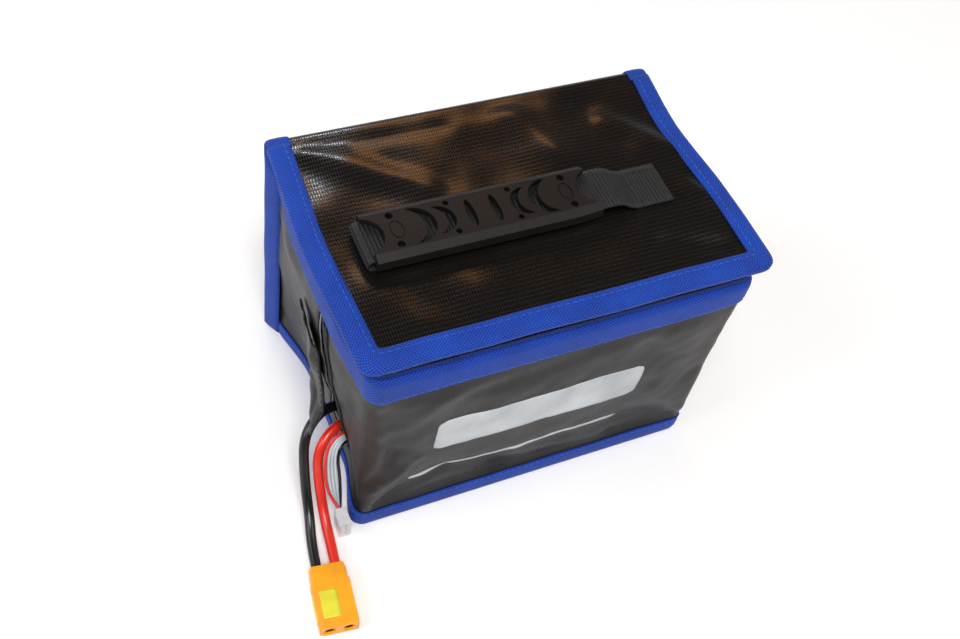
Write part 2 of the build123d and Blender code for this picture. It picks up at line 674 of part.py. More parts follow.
with BuildPart() as connector_cap:
    with BuildSketch(rear):
        RectangleRounded(CONNECTOR_WIDE - 2.4, CONNECTOR_HIGH - 1.4, 1.6)
    with BuildSketch(rear.offset(3)):
        RectangleRounded(CONNECTOR_WIDE - 1.2, CONNECTOR_HIGH - 0.4, 1.6)
    loft()
    with BuildSketch(rear.offset(3)):
        RectangleRounded(CONNECTOR_WIDE - 1.2, CONNECTOR_HIGH - 0.4, 1.6)
    extrude(amount=CAP_LENGTH - 3)
    with BuildSketch(rear.offset(1.6)):
        Rectangle(CONNECTOR_WIDE - 4.6, CONNECTOR_HIGH - 3.4)
    extrude(amount=CAP_LENGTH, mode=Mode.SUBTRACT)
finish(connector_cap, "connector_cap")

with BuildPart() as connector_housing:
    with BuildSketch(shoulder):
        Rectangle(CONNECTOR_WIDE, CONNECTOR_HIGH)
    extrude(amount=BODY_LENGTH)
    edges_along = connector_housing.edges().filter_by(Axis((0, 0, 0), tuple(AHEAD)))
    chamfer(edges_along.group_by(Axis.X)[0], 2.4)
    fillet(connector_housing.edges().filter_by(Axis((0, 0, 0), tuple(AHEAD))).group_by(Axis.X)[-1], 0.8)
    # Grooves that leave grip ribs across the upper wide face, near the back.
    for rib in range(3):
        with BuildSketch(shoulder.offset(2.2 + rib * 2.0)):
            with Locations((0, CONNECTOR_HIGH / 2)):
                Rectangle(11, 0.7)
        extrude(amount=0.9, mode=Mode.SUBTRACT)
    with BuildSketch(nose):
        with Locations((LEAD_PITCH / 2, 0), (-LEAD_PITCH / 2, 0)):
            Circle(SOCKET_RADIUS + 0.9)
    extrude(amount=-BODY_LENGTH, mode=Mode.SUBTRACT)
finish(connector_housing, "connector_housing")

with BuildPart() as connector_sockets:
    with BuildSketch(nose.offset(-0.8)):
        with Locations((LEAD_PITCH / 2, 0), (-LEAD_PITCH / 2, 0)):
            Circle(SOCKET_RADIUS + 0.9)
    extrude(amount=-BODY_LENGTH + 0.8)
    with BuildSketch(nose.offset(-0.8)):
        with Locations((LEAD_PITCH / 2, 0), (-LEAD_PITCH / 2, 0)):
            Circle(SOCKET_RADIUS)
    extrude(amount=-14, mode=Mode.SUBTRACT)
finish(connector_sockets, "connector_sockets")
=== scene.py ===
"""Looks for a padded battery charging bag: soft walls, lid, bindings, zip, handle, port, leads and battery.

Lengths are millimetres in the CAD frame, apart from the camera, the lights and the materials, in metres.
"""

from bisect import bisect_left
from math import cos, exp, hypot, pi, radians, sin

import bpy
from mathutils import Matrix, Vector, noise


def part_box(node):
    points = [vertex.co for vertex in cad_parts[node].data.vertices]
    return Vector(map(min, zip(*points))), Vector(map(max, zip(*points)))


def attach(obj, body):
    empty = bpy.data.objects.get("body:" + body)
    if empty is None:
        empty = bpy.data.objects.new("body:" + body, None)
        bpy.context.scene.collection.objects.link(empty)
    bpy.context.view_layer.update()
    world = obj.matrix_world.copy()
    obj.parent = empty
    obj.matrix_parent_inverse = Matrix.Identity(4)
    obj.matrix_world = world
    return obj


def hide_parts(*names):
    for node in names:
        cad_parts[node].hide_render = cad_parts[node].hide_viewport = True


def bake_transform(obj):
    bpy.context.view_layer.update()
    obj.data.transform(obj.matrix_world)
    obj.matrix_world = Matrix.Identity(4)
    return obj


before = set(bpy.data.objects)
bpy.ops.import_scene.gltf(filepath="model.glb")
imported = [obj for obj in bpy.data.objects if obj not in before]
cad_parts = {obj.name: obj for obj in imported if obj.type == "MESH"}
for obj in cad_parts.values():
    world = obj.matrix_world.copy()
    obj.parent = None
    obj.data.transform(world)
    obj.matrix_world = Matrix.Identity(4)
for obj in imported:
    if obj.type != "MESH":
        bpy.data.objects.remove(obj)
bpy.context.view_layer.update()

MM = 0.001
UV_NAME = "cloth"


def corners_mm(node):
    """The lowest and highest corner of a CAD node."""
    low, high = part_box(node)
    return low / MM, high / MM


SKIN_LOW, SKIN_HIGH = corners_mm("outer_skin")
LID_LOW, LID_HIGH = corners_mm("lid_binding")
SHEET_LOW, SHEET_HIGH = corners_mm("lid_skin")
TOP_LOW, TOP_HIGH = corners_mm("body_top_binding")
PANEL_HIGH = corners_mm("back_panel")[1]
STRAP_LOW, STRAP_HIGH = corners_mm("handle_strap")
GRIP_HIGH = corners_mm("handle_grip")[1]
TAB_LEFT_LOW, TAB_LEFT_HIGH = corners_mm("strap_tab_left")
TAB_RIGHT_LOW, TAB_RIGHT_HIGH = corners_mm("strap_tab_right")

# The plan of the walls, and the lid.
HALF = SKIN_HIGH.x
FRONT = SKIN_LOW.y
REAR = SKIN_HIGH.y
CORNER = 7.0
LID_TOP = SHEET_HIGH.z
LID_HALF = SHEET_HIGH.x
HANDLE_Y = (STRAP_LOW.y + STRAP_HIGH.y) / 2

# Thicknesses, and the width of the bindings.
SKIN = 0.8
FOAM = 2.4
LINING = 0.6
TAPE = 0.8
BAND = 11.0

# ---- camera, lights and floor ----

CAMERA_PLACE = (-0.22586, -0.31972, 0.58145)
CAMERA_AZIMUTH = -34.54
CAMERA_ELEVATION = 53.48
CAMERA_ROLL = 14.31
CAMERA_LENS = 44.08
SENSOR_WIDTH = 36
FLOOR_REACH = 3.0
MIDDLE = (0.0, 0.0, 0.08)

# Each light's name, place, aim, size, power and colour.
LIGHTS = (
    ("key", (-0.35, -0.75, 1.7), MIDDLE, 0.7, 26, (1.0, 0.98, 0.96)),
    ("left_fill", (-1.5, 0.1, 1.3), MIDDLE, 1.0, 13, (0.94, 0.97, 1.0)),
    ("right_fill", (1.4, -0.3, 1.4), MIDDLE, 1.0, 11, (1.0, 0.98, 0.96)),
    ("back_fill", (-0.3, 1.7, 0.9), MIDDLE, 1.0, 9, (1.0, 0.99, 0.98)),
    ("warm_panel", (0.5, 1.2, 1.22), (0.0, 0.03, 0.15), 0.34, 1.2, (1.0, 0.42, 0.11)),
    ("cool_panel", (0.16, 0.98, 0.98), (-0.03, 0.03, 0.15), 0.09, 0.8, (0.8, 0.9, 1.0)),
)

# The room's colour from the horizon up: height on the sky's scale of -1 to 1, and colour.
SKY = ((0.12, (0.85, 0.86, 0.88, 1)), (0.42, (0.03, 0.03, 0.032, 1)))


def add_object(name, data):
    """A new object in the scene."""
    thing = bpy.data.objects.new(name, data)
    bpy.context.scene.collection.objects.link(thing)
    return thing


def make_camera():
    """The camera, turned by its azimuth, elevation and roll."""
    data = bpy.data.cameras.new("camera")
    data.lens = CAMERA_LENS
    data.sensor_width = SENSOR_WIDTH
    camera = add_object("camera", data)
    turn = Matrix.Rotation(radians(CAMERA_AZIMUTH), 3, "Z")
    tilt = Matrix.Rotation(radians(90 - CAMERA_ELEVATION), 3, "X")
    roll = Matrix.Rotation(radians(CAMERA_ROLL), 3, "Z")
    camera.matrix_world = Matrix.Translation(CAMERA_PLACE) @ (turn @ tilt @ roll).to_4x4()
    bpy.context.scene.camera = camera


def area_light(name, place, aim, size, power, color):
    """A soft square light that points at a place."""
    data = bpy.data.lights.new(name, "AREA")
    data.size = size
    data.energy = power
    data.color = color
    lamp = add_object(name, data)
    lamp.location = place
    lamp.rotation_euler = (Vector(aim) - Vector(place)).to_track_quat("-Z", "Y").to_euler()


def make_world():
    """A room that is pale near the horizon and dark overhead, so the glossy lid stays black."""
    world = bpy.data.worlds.new("studio")
    world.use_nodes = True
    nodes = world.node_tree.nodes
    place = nodes.new("ShaderNodeTexCoord")
    split = nodes.new("ShaderNodeSeparateXYZ")
    fade = nodes.new("ShaderNodeValToRGB")
    links = world.node_tree.links
    links.new(place.outputs["Generated"], split.inputs[0])
    links.new(split.outputs[2], fade.inputs["Fac"])
    links.new(fade.outputs["Color"], nodes["Background"].inputs["Color"])
    for stop, (position, color) in zip(fade.color_ramp.elements, SKY):
        stop.position, stop.color = position, color
    return world


def make_studio():
    """A pale floor, a soft key, three fills, and two panels that the glossy lid mirrors."""
    for light in LIGHTS:
        area_light(*light)
    bpy.context.scene.world = make_world()
    bpy.context.scene.view_settings.view_transform = "Standard"
    corners = [(x * FLOOR_REACH, y * FLOOR_REACH, 0) for x, y in ((-1, -1), (1, -1), (1, 1), (-1, 1))]
    mesh = bpy.data.meshes.new("floor")
    mesh.from_pydata(corners, [], [(0, 1, 2, 3)])
    mesh.materials.append(shader("floor_paper", (0.95, 0.95, 0.95), 0.9, {"Specular IOR Level": 0.1}))
    add_object("floor", mesh)


# ---- materials ----


def shader(name, color, roughness, values=None):
    """A material with a Principled surface."""
    material = bpy.data.materials.new(name)
    material.use_nodes = True
    inputs = material.node_tree.nodes["Principled BSDF"].inputs
    inputs["Base Color"].default_value = (*color, 1)
    inputs["Roughness"].default_value = roughness
    for key, value in (values or {}).items():
        inputs[key].default_value = value
    return material


def add_node(material, kind, values=None, **settings):
    """A node of one kind, with its settings and its unlinked inputs."""
    node = material.node_tree.nodes.new("ShaderNode" + kind)
    for key, value in settings.items():
        setattr(node, key, value)
    for key, value in (values or {}).items():
        node.inputs[key].default_value = value
    return node


def join(material, source, target):
    """Links one socket to another."""
    material.node_tree.links.new(source, target)


def surface_of(material):
    """The inputs of a material's surface."""
    return material.node_tree.nodes["Principled BSDF"].inputs


def feed(material, source, key):
    """Links a socket to one of the surface's inputs."""
    join(material, source, surface_of(material)[key])


def arithmetic(material, operation, *values):
    """A math node on sockets or numbers."""
    node = add_node(material, "Math", operation=operation)
    for socket, value in zip(node.inputs, values):
        if isinstance(value, (int, float)):
            socket.default_value = value
        else:
            join(material, value, socket)
    return node.outputs[0]


def cloth_axes(material):
    """The two directions of a cloth's own map, in metres."""
    uv = add_node(material, "UVMap", uv_map=UV_NAME)
    split = add_node(material, "SeparateXYZ")
    join(material, uv.outputs[0], split.inputs[0])
    return split.outputs[0], split.outputs[1]


def ripple(material, axis, pitch):
    """A sine along one axis, with that pitch in metres."""
    return arithmetic(material, "SINE", arithmetic(material, "MULTIPLY", axis, 2 * pi / pitch))


def object_noise(material, scale, detail=3.0):
    """Noise over the object's own space, from 0 to 1."""
    place = add_node(material, "TexCoord")
    cloud = add_node(material, "TexNoise", {"Scale": scale, "Detail": detail})
    join(material, place.outputs["Object"], cloud.inputs["Vector"])
    return cloud.outputs["Fac"]


def ramp(material, factor, stops):
    """A colour ramp through (position, colour) stops."""
    node = add_node(material, "ValToRGB")
    elements = node.color_ramp.elements
    while len(elements) < len(stops):
        elements.new(0.5)
    for element, (position, color) in zip(elements, stops):
        element.position = position
        element.color = (*color, 1)
    join(material, factor, node.inputs["Fac"])
    return node.outputs["Color"]


def span(material, factor, low, high, start=0.0, end=1.0):
    """A factor stretched from its own range to another one."""
    node = add_node(material, "MapRange", {"From Min": start, "From Max": end, "To Min": low, "To Max": high})
    join(material, factor, node.inputs["Value"])
    return node.outputs["Result"]


def bump(material, height, strength, distance):
    """Raises the surface by a height socket, over anything already raised."""
    node = add_node(material, "Bump", {"Strength": strength, "Distance": distance})
    join(material, height, node.inputs["Height"])
    target = surface_of(material)["Normal"]
    if target.is_linked:
        join(material, target.links[0].from_socket, node.inputs["Normal"])
    join(material, node.outputs["Normal"], target)


def woven(name, dark, bright, pitch, roughness, sheen=0.08, strength=0.8, specular=0.4):
    """Plain woven tape or cloth: crossing threads, painted shade in the gaps between them, a painted
    highlight on their crowns, and broad wear.
    """
    material = shader(name, bright, roughness, {"Sheen Weight": sheen, "Specular IOR Level": specular})
    along, across = cloth_axes(material)
    weft = ripple(material, along, pitch)
    warp = ripple(material, across, pitch * 0.8)
    level = arithmetic(material, "MULTIPLY_ADD", arithmetic(material, "MULTIPLY", weft, warp), 0.5, 0.5)
    wear = span(material, object_noise(material, 60), 0.55, 1.45)
    middle = tuple((a + b) / 2 for a, b in zip(dark, bright))
    stops = ((0.08, dark), (0.45, middle), (0.9, bright))
    # Painted light: by the weave's height, the dark colour is painted shade in the gaps between threads and
    # the bright colour a painted highlight on their crowns, scaled by broad random wear.
    feed(material, ramp(material, arithmetic(material, "MULTIPLY", level, wear), stops), "Base Color")
    bump(material, level, strength, 0.25 * MM)
    return material


def coated_cloth():
    """Dark coated fabric: a fine rib under a satin coating, scuffed in places."""
    material = shader("coated_cloth", (0.014, 0.013, 0.013), 0.42, {"Specular IOR Level": 0.26})
    along, across = cloth_axes(material)
    rib = ripple(material, along, 1.1 * MM)
    threads = arithmetic(material, "MULTIPLY_ADD", ripple(material, across, 1.7 * MM), 0.5, rib)
    cloud = object_noise(material, 28, 5.0)
    tint = ramp(material, cloud, ((0.3, (0.0085, 0.008, 0.0085)), (0.7, (0.017, 0.0155, 0.0148))))
    feed(material, tint, "Base Color")
    feed(material, span(material, object_noise(material, 75), 0.34, 0.5), "Roughness")
    bump(material, threads, 0.25, 0.12 * MM)
    bump(material, cloud, 0.25, 1.2 * MM)
    return material


def lid_film():
    """Black clear-filmed mesh: glossy cells between raised threads, the cells tinted a faint warm brown as a
    painted reflection.
    """
    material = shader("lid_film", (0.004, 0.0035, 0.003), 0.2, {"Specular IOR Level": 0.6})
    along, across = cloth_axes(material)
    column = arithmetic(material, "ABSOLUTE", ripple(material, along, 2.6 * MM))
    row = arithmetic(material, "ABSOLUTE", ripple(material, across, 5.0 * MM))
    wide = arithmetic(material, "POWER", column, 0.5)
    cell = arithmetic(material, "MULTIPLY", wide, arithmetic(material, "POWER", row, 0.32))
    feed(material, span(material, cell, 0.5, 0.1), "Roughness")
    # Painted reflection: the glossy cells get a faint warm-brown tint, and the lines between them stay near
    # black.
    tint = ramp(material, cell, ((0.25, (0.001, 0.001, 0.001)), (0.8, (0.0055, 0.0042, 0.0032))))
    feed(material, tint, "Base Color")
    bump(material, cell, 0.3, 0.1 * MM)
    bump(material, object_noise(material, 15, 1.5), 0.85, 6.5 * MM)
    return material


def moulded(name, color, roughness, grain, values=None, strength=0.2):
    """Moulded rubber or plastic with a fine grain and slight shade changes."""
    material = shader(name, color, roughness, values)
    darker = tuple(c * 0.8 for c in color)
    lighter = tuple(min(c * 1.15, 1.0) for c in color)
    feed(material, ramp(material, object_noise(material, 45), ((0.3, darker), (0.7, lighter))), "Base Color")
    fine = object_noise(material, grain, 4.0)
    feed(material, span(material, fine, roughness * 0.85, min(roughness * 1.2, 1.0)), "Roughness")
    bump(material, fine, strength, 0.15 * MM)
    return material


def pile(name, color):
    """The fuzzy face of hook or loop tape."""
    values = {"Sheen Weight": 0.1, "Sheen Roughness": 0.6, "Specular IOR Level": 0.15}
    material = shader(name, color, 0.95, values)
    place = add_node(material, "TexCoord")
    cells = add_node(material, "TexVoronoi", {"Scale": 1300})
    join(material, place.outputs["Object"], cells.inputs["Vector"])
    far = cells.outputs["Distance"]
    feed(material, ramp(material, far, ((0.1, color), (0.7, tuple(c * 0.3 for c in color)))), "Base Color")
    bump(material, far, 0.9, 0.5 * MM)
    return material


def metal(name, color, roughness):
    """Plated metal with fine brushed marks."""
    material = shader(name, color, roughness, {"Metallic": 1.0})
    marks = object_noise(material, 900, 2.0)
    feed(material, span(material, marks, roughness * 0.8, roughness * 1.3), "Roughness")
    bump(material, marks, 0.12, 0.05 * MM)
    return material


def shrink_wrap():
    """Glossy heat-shrunk film in two plain tones, with faint wrinkles."""
    material = shader("shrink_wrap", (0.02, 0.05, 0.16), 0.22, {"Coat Weight": 0.5})
    place = add_node(material, "TexCoord")
    split = add_node(material, "SeparateXYZ")
    join(material, place.outputs["Object"], split.inputs[0])
    along = span(material, split.outputs[0], 0.0, 1.0, -0.1, 0.1)
    stripe = ramp(material, along, ((0.3, (0.012, 0.013, 0.016)), (0.32, (0.02, 0.06, 0.2))))
    stripe.node.color_ramp.interpolation = "CONSTANT"
    feed(material, stripe, "Base Color")
    bump(material, object_noise(material, 90, 2.0), 0.25, 0.5 * MM)
    return material


BINDING = woven(
    "blue_binding_weave", (0.0004, 0.004, 0.07), (0.0045, 0.072, 0.52), 1.9 * MM, 0.62, 0.03, specular=0.25
)
ZIP_TAPE = woven(
    "blue_zip_weave", (0.0006, 0.005, 0.07), (0.006, 0.05, 0.36), 1.3 * MM, 0.65, 0.03, specular=0.25
)
WEBBING = woven(
    "black_webbing_weave", (0.0008, 0.0008, 0.001), (0.006, 0.006, 0.0065), 0.9 * MM, 0.5, 0.02, 0.5
)
GLASS_CLOTH = woven("glass_cloth", (0.3, 0.31, 0.33), (0.62, 0.63, 0.65), 1.6 * MM, 0.4, 0.05, 0.4)
THREAD = woven("blue_thread", (0.002, 0.02, 0.24), (0.02, 0.16, 0.85), 0.5 * MM, 0.5)
BLACK_THREAD = woven("black_thread", (0.002, 0.002, 0.002), (0.008, 0.008, 0.009), 0.5 * MM, 0.5)
COATED = coated_cloth()
FILM = lid_film()
FOAM_PAD = moulded("foam", (0.5, 0.5, 0.52), 0.95, 900, None, 0.7)
RUBBER = moulded("grip_rubber_grain", (0.008, 0.006, 0.005), 0.45, 1400, {"Specular IOR Level": 0.32})
HOOK = pile("hook_pile", (0.006, 0.006, 0.0065))
LOOP = pile("loop_pile", (0.009, 0.009, 0.01))
COIL = moulded("zip_coil_nylon", (0.004, 0.008, 0.035), 0.35, 1500)
DARK_METAL = metal("dark_plating", (0.1, 0.1, 0.11), 0.32)
TAB_METAL = metal("tab_plating", (0.75, 0.75, 0.72), 0.25)
GOLD = metal("gold_plating", (0.9, 0.66, 0.25), 0.2)
FOIL = metal("pouch_foil_grain", (0.78, 0.79, 0.8), 0.4)
WRAP = shrink_wrap()
END_CAP = moulded("end_cap_grain", (0.015, 0.015, 0.017), 0.5, 800)
CIRCUIT = moulded("circuit_laminate", (0.02, 0.16, 0.06), 0.35, 600)
BLACK_SILICONE = moulded("black_silicone", (0.005, 0.005, 0.006), 0.3, 1200, {"Coat Weight": 0.15}, 0.08)
RED_SILICONE = moulded("red_silicone", (0.72, 0.022, 0.009), 0.32, 1200, {"Coat Weight": 0.15}, 0.08)
WHITE_SILICONE = moulded("white_silicone", (0.62, 0.68, 0.74), 0.35, 1200, {"Coat Weight": 0.1}, 0.08)
WHITE_NYLON = moulded("white_nylon_grain", (0.66, 0.66, 0.66), 0.45, 700)
YELLOW_NYLON = moulded("connector_nylon_grain", (0.92, 0.36, 0.01), 0.4, 800, {"Specular IOR Level": 0.45})
LABEL = moulded("plain_label", (0.72, 0.66, 0.04), 0.35, 500)
INK = moulded("pale_print", (0.5, 0.53, 0.55), 0.55, 1100, None, 0.25)
BOARD = moulded("stiff_board", (0.4, 0.36, 0.3), 0.9, 500, None, 0.4)

# ---- cords: the same routes as their CAD tubes ----

LEAD = 5.5
WIRE = 1.7
LEAD_PITCH = 10.0
CONNECTOR = Vector((-123.4, -90.5, 5.4))
CONNECTOR_TURN = radians(7.0)
AHEAD = Vector((-sin(CONNECTOR_TURN), -cos(CONNECTOR_TURN), 0))
ASIDE = Vector((-cos(CONNECTOR_TURN), sin(CONNECTOR_TURN), 0))


def into_connector(side, back, rise):
    """The last two points of a main lead: straight in along the connector's axis."""
    end = CONNECTOR + ASIDE * (side * LEAD_PITCH / 2)
    before = end - AHEAD * back + Vector((0, 0, rise))
    return [tuple(before), tuple(end)]


BLACK_ROUTE = [
    (-62.0, -21.0, 26.0), (-73.0, -20.8, 28.0), (-85.5, -20.6, 36.7), (-96.5, -20.8, 44.8),
    (-105.3, -23.7, 47.0), (-113.2, -28.8, 45.2), (-118.4, -34.9, 39.6), (-120.5, -42.8, 29.0),
    (-121.9, -51.6, 18.0), (-123.4, -62.8, 9.6), *into_connector(1, 13.5, 0.8),
]
RED_ROUTE = [
    (-62.0, -31.0, 25.0), (-72.0, -30.4, 26.8), (-82.0, -29.6, 34.2), (-90.8, -29.3, 40.6),
    (-99.7, -31.8, 42.4), (-107.7, -36.2, 40.1), (-112.8, -41.5, 34.2), (-114.2, -47.4, 24.6),
    (-115.0, -56.0, 14.6), (-116.0, -66.8, 7.9), *into_connector(-1, 13.0, 0.4),
]

# The middle balance wire's route, with each point's step from one wire to the next in x and z.
BALANCE_ROUTE = (
    ((-62.0, -40.0, 20.0), (0.0, 2.2)),
    ((-71.0, -39.6, 24.0), (0.0, 2.5)),
    ((-79.5, -38.8, 30.4), (0.0, 2.6)),
    ((-87.0, -38.2, 36.4), (-0.1, 2.6)),
    ((-93.0, -38.4, 40.8), (-0.5, 2.4)),
    ((-99.4, -39.3, 42.3), (-1.0, 2.2)),
    ((-104.5, -42.6, 40.2), (-1.5, 1.9)),
    ((-106.9, -46.2, 34.6), (-1.8, 1.5)),
    ((-107.4, -50.3, 26.0), (-2.0, 0.5)),
    ((-107.5, -54.6, 17.2), (-1.9, 1.2)),
    ((-107.4, -59.2, 10.4), (-1.2, 2.4)),
    ((-107.4, -65.0, 7.7), (0.0, 2.5)),
)

# Each balance wire's length, material and slot.
BALANCE_WIRES = (
    (89.5, BLACK_SILICONE, "lead_black"),
    (90.0, WHITE_SILICONE, "lead_white"),
    (90.9, WHITE_SILICONE, "lead_white"),
    (92.2, WHITE_SILICONE, "lead_white"),
    (93.9, RED_SILICONE, "lead_red"),
)


def cord_piece(name, node, points, diameter, material):
    """A round silicone lead along its route, riding on the bag in place of its CAD tube."""
    curve = bpy.data.curves.new(name, "CURVE")
    curve.dimensions = "3D"
    curve.bevel_depth = diameter / 2 * MM
    curve.bevel_resolution = 5
    curve.resolution_u = 12
    curve.use_fill_caps = True
    spline = curve.splines.new("NURBS")
    spline.points.add(len(points) - 1)
    for place, point in zip(spline.points, points):
        place.co = (*(Vector(point) * MM), 1)
    spline.order_u = 3
    spline.use_endpoint_u = True
    curve.materials.append(material)
    piece = add_object(name, curve)
    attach(piece, "bag")
    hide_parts(node)


def make_cords():
    """The two main leads and the five balance wires."""
    for color, route, length, material in (
        ("black", BLACK_ROUTE, 137.5, BLACK_SILICONE),
        ("red", RED_ROUTE, 122.6, RED_SILICONE),
    ):
        name = f"lead_{color}"
        cord_piece(name, f"main_{name}", route, LEAD, material)
    for number, (length, material, slot) in enumerate(BALANCE_WIRES, 1):
        steps = number - (len(BALANCE_WIRES) + 1) / 2
        route = [Vector(point) + Vector((dx, 0, dz)) * steps for point, (dx, dz) in BALANCE_ROUTE]
        name = f"balance_lead_{number}"
        cord_piece(name, f"balance_wire_{number}", route, WIRE, material)


# ---- mesh helpers ----


def new_piece(name, points, faces, material, face_maps=None):
    """A smooth-shaded mesh object from points, with an optional cloth map."""
    mesh = bpy.data.meshes.new(name)
    mesh.from_pydata([tuple(Vector(p) * MM) for p in points], [], faces)
    if face_maps:
        layer = mesh.uv_layers.new(name=UV_NAME)
        flat = [uv for corners in face_maps for uv in corners]
        for loop, (u, v) in zip(layer.data, flat):
            loop.uv = (u * MM, v * MM)
    mesh.polygons.foreach_set("use_smooth", [True] * len(mesh.polygons))
    mesh.materials.append(material)
    mesh.update()
    return add_object(name, mesh)


def running_lengths(points):
    """The distance along a line at each of its points."""
    lengths = [0.0]
    for a, b in zip(points, points[1:]):
        lengths.append(lengths[-1] + (Vector(b) - Vector(a)).length)
    return lengths


def locate(lengths, distance):
    """The stretch of a line that a distance falls in, and the share of the stretch before it."""
    k = min(max(bisect_left(lengths, distance) - 1, 0), len(lengths) - 2)
    return k, min(max((distance - lengths[k]) / max(lengths[k + 1] - lengths[k], 1e-6), 0.0), 1.0)


def grid_piece(name, rows, material, closed=False, skip=None, even=False):
    """A sheet through rows of points, mapped by its own lengths; an even one is mapped by its middle row."""
    count = len(rows[0])
    wrap = count if closed else count - 1
    across = running_lengths([row[count // 2] for row in rows])
    along = [running_lengths([*row, row[0]] if closed else row) for row in rows]
    if even:
        along = [along[len(rows) // 2]] * len(rows)
    faces = []
    maps = []
    for i in range(len(rows) - 1):
        for j in range(wrap):
            if skip and skip(i, j):
                continue
            corners = ((i, j), (i, j + 1), (i + 1, j + 1), (i + 1, j))
            faces.append([a * count + b % count for a, b in corners])
            maps.append([(along[a][b], across[a]) for a, b in corners])
    points = [p for row in rows for p in row]
    used = sorted({v for face in faces for v in face})
    place = {old: new for new, old in enumerate(used)}
    faces = [[place[v] for v in face] for face in faces]
    return new_piece(name, [points[v] for v in used], faces, material, maps)


def bead_faces(first, rings, sides):
    """The faces of a small bead: rings of points from this index on, and a cap at each end."""
    faces = []
    last = first + (rings - 1) * sides
    for low in range(first, last, sides):
        for k in range(sides):
            after = (k + 1) % sides
            faces.append([low + k, low + after, low + sides + after, low + sides + k])
    faces.append([first + k for k in reversed(range(sides))])
    faces.append([last + k for k in range(sides)])
    return faces


def apply_modifiers(piece):
    """Turns a piece's modifiers into its mesh."""
    bpy.context.view_layer.update()
    result = bpy.data.meshes.new_from_object(piece.evaluated_get(bpy.context.evaluated_depsgraph_get()))
    piece.modifiers.clear()
    piece.data = result


def thicken(piece, thickness, offset=-1.0):
    """Gives a sheet its thickness, inwards by default."""
    modifier = piece.modifiers.new("thickness", "SOLIDIFY")
    modifier.thickness = thickness * MM
    modifier.offset = offset
    modifier.use_even_offset = False
    apply_modifiers(piece)
    return piece


def settle(piece, body, slot, *nodes):
    """A finished piece rides on its body and stands for its CAD nodes."""
    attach(piece, body)
    if nodes:
        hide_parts(*nodes)
    return piece


def smooth_step(value):
    """A smooth rise from 0 to 1, level outside that range."""
    t = min(max(value, 0.0), 1.0)
    return t * t * (3 - 2 * t)


def mix(a, b, t):
    """The value between two others at a share of the way."""
    return a + (b - a) * t


def spread(a, b, steps, first=0):
    """Even values from a to b, from the one with this number on."""
    return [mix(a, b, k / steps) for k in range(first, steps + 1)]


def bell(value, centre, width):
    """A smooth hump of height 1."""
    return exp(-(((value - centre) / width) ** 2))


def read_table(table, value):
    """A smooth curve through (place, amount) pairs."""
    if value <= table[0][0]:
        return table[0][1]
    for (a, low), (b, high) in zip(table, table[1:]):
        if value <= b:
            return mix(low, high, smooth_step((value - a) / (b - a)))
    return table[-1][1]


def folds(lines, a, b):
    """The height that a set of fold lines gives a point of a panel."""
    total = 0.0
    for (a0, b0), (a1, b1), height, width in lines:
        run = hypot(a1 - a0, b1 - b0)
        t = ((a - a0) * (a1 - a0) + (b - b0) * (b1 - b0)) / run**2
        near = min(max(t, 0.0), 1.0)
        gap = hypot(a - mix(a0, a1, near), b - mix(b0, b1, near))
        total += height * exp(-((gap / width) ** 2))
    return total


def crumple(x, y, z, size, seed):
    """Even noise from -1 to 1 with features about that size."""
    return noise.noise(Vector((x / size + seed, y / size, z / size)))


# ---- the slumped shape of the walls ----

# How far each wall stands out of its flat plan, by height.
LEFT_PUSH = (
    (0, -8.5), (14, -8.0), (40, -5.0), (64, -1.0), (92, 3.0), (115, 5.0), (127, 4.2), (142, 3.4), (152, 3.2),
)
RIGHT_PUSH = ((0, 0), (14, 0.5), (45, 2.0), (85, 2.5), (115, 1.0), (130, 0), (152, 0))
FRONT_PUSH = (
    (0, 0), (11, -0.6), (16, -2.6), (28, -1.8), (50, 0.8),
    (85, 2.2), (115, 2.6), (128, 1.2), (142, 0.4), (152, 0),
)

# Folds in each wall: two ends, height (outwards) and half width. Left wall in (y, z), front wall in (x, z).
LEFT_FOLDS = (
    ((-48, 34), (-68, 10), -3.5, 6.0),
    ((-55, 40), (-66, 112), 1.2, 8.0),
    ((-30, 22), (20, 16), 1.2, 6.0),
    ((30, 60), (52, 24), -1.4, 9.0),
    ((38, 118), (55, 70), 1.2, 10.0),
)
FRONT_FOLDS = (
    ((-97, 122), (-92, 44), 1.2, 3.0),
    ((-86, 70), (-98, 40), -1.6, 3.5),
    ((-94, 36), (-72, 60), 1.3, 3.2),
    ((-90, 17), (-52, 36), -1.5, 4.0),
    ((-96, 112), (-78, 58), -1.6, 7.0),
    ((-80, 62), (-97, 16), 2.0, 8.0),
    ((-62, 44), (-18, 20), -1.5, 7.0),
    ((-10, 30), (42, 17), 1.3, 7.0),
    ((46, 112), (88, 66), -1.6, 8.0),
    ((66, 60), (97, 24), 1.8, 8.0),
    ((-48, 114), (8, 121), -1.0, 6.0),
    ((56, 34), (92, 18), -1.5, 6.0),
    ((-90, 92), (-60, 118), 1.1, 6.0),
)
RIGHT_FOLDS = (
    ((-60, 30), (-20, 60), -1.5, 9.0),
    ((0, 110), (45, 60), 1.4, 10.0),
    ((20, 30), (60, 20), -1.2, 8.0),
)
# How far the walls' edges hold them: from the front, from the rear, and from the front corners.
FRONT_HOLD = 38
REAR_HOLD = 45
SIDE_HOLD = 30

# The front left corner is pressed in: how far in x and y, and how far round it.
CORNER_PINCH = Vector((3.2, 2.4))
PINCH_REACH = 22


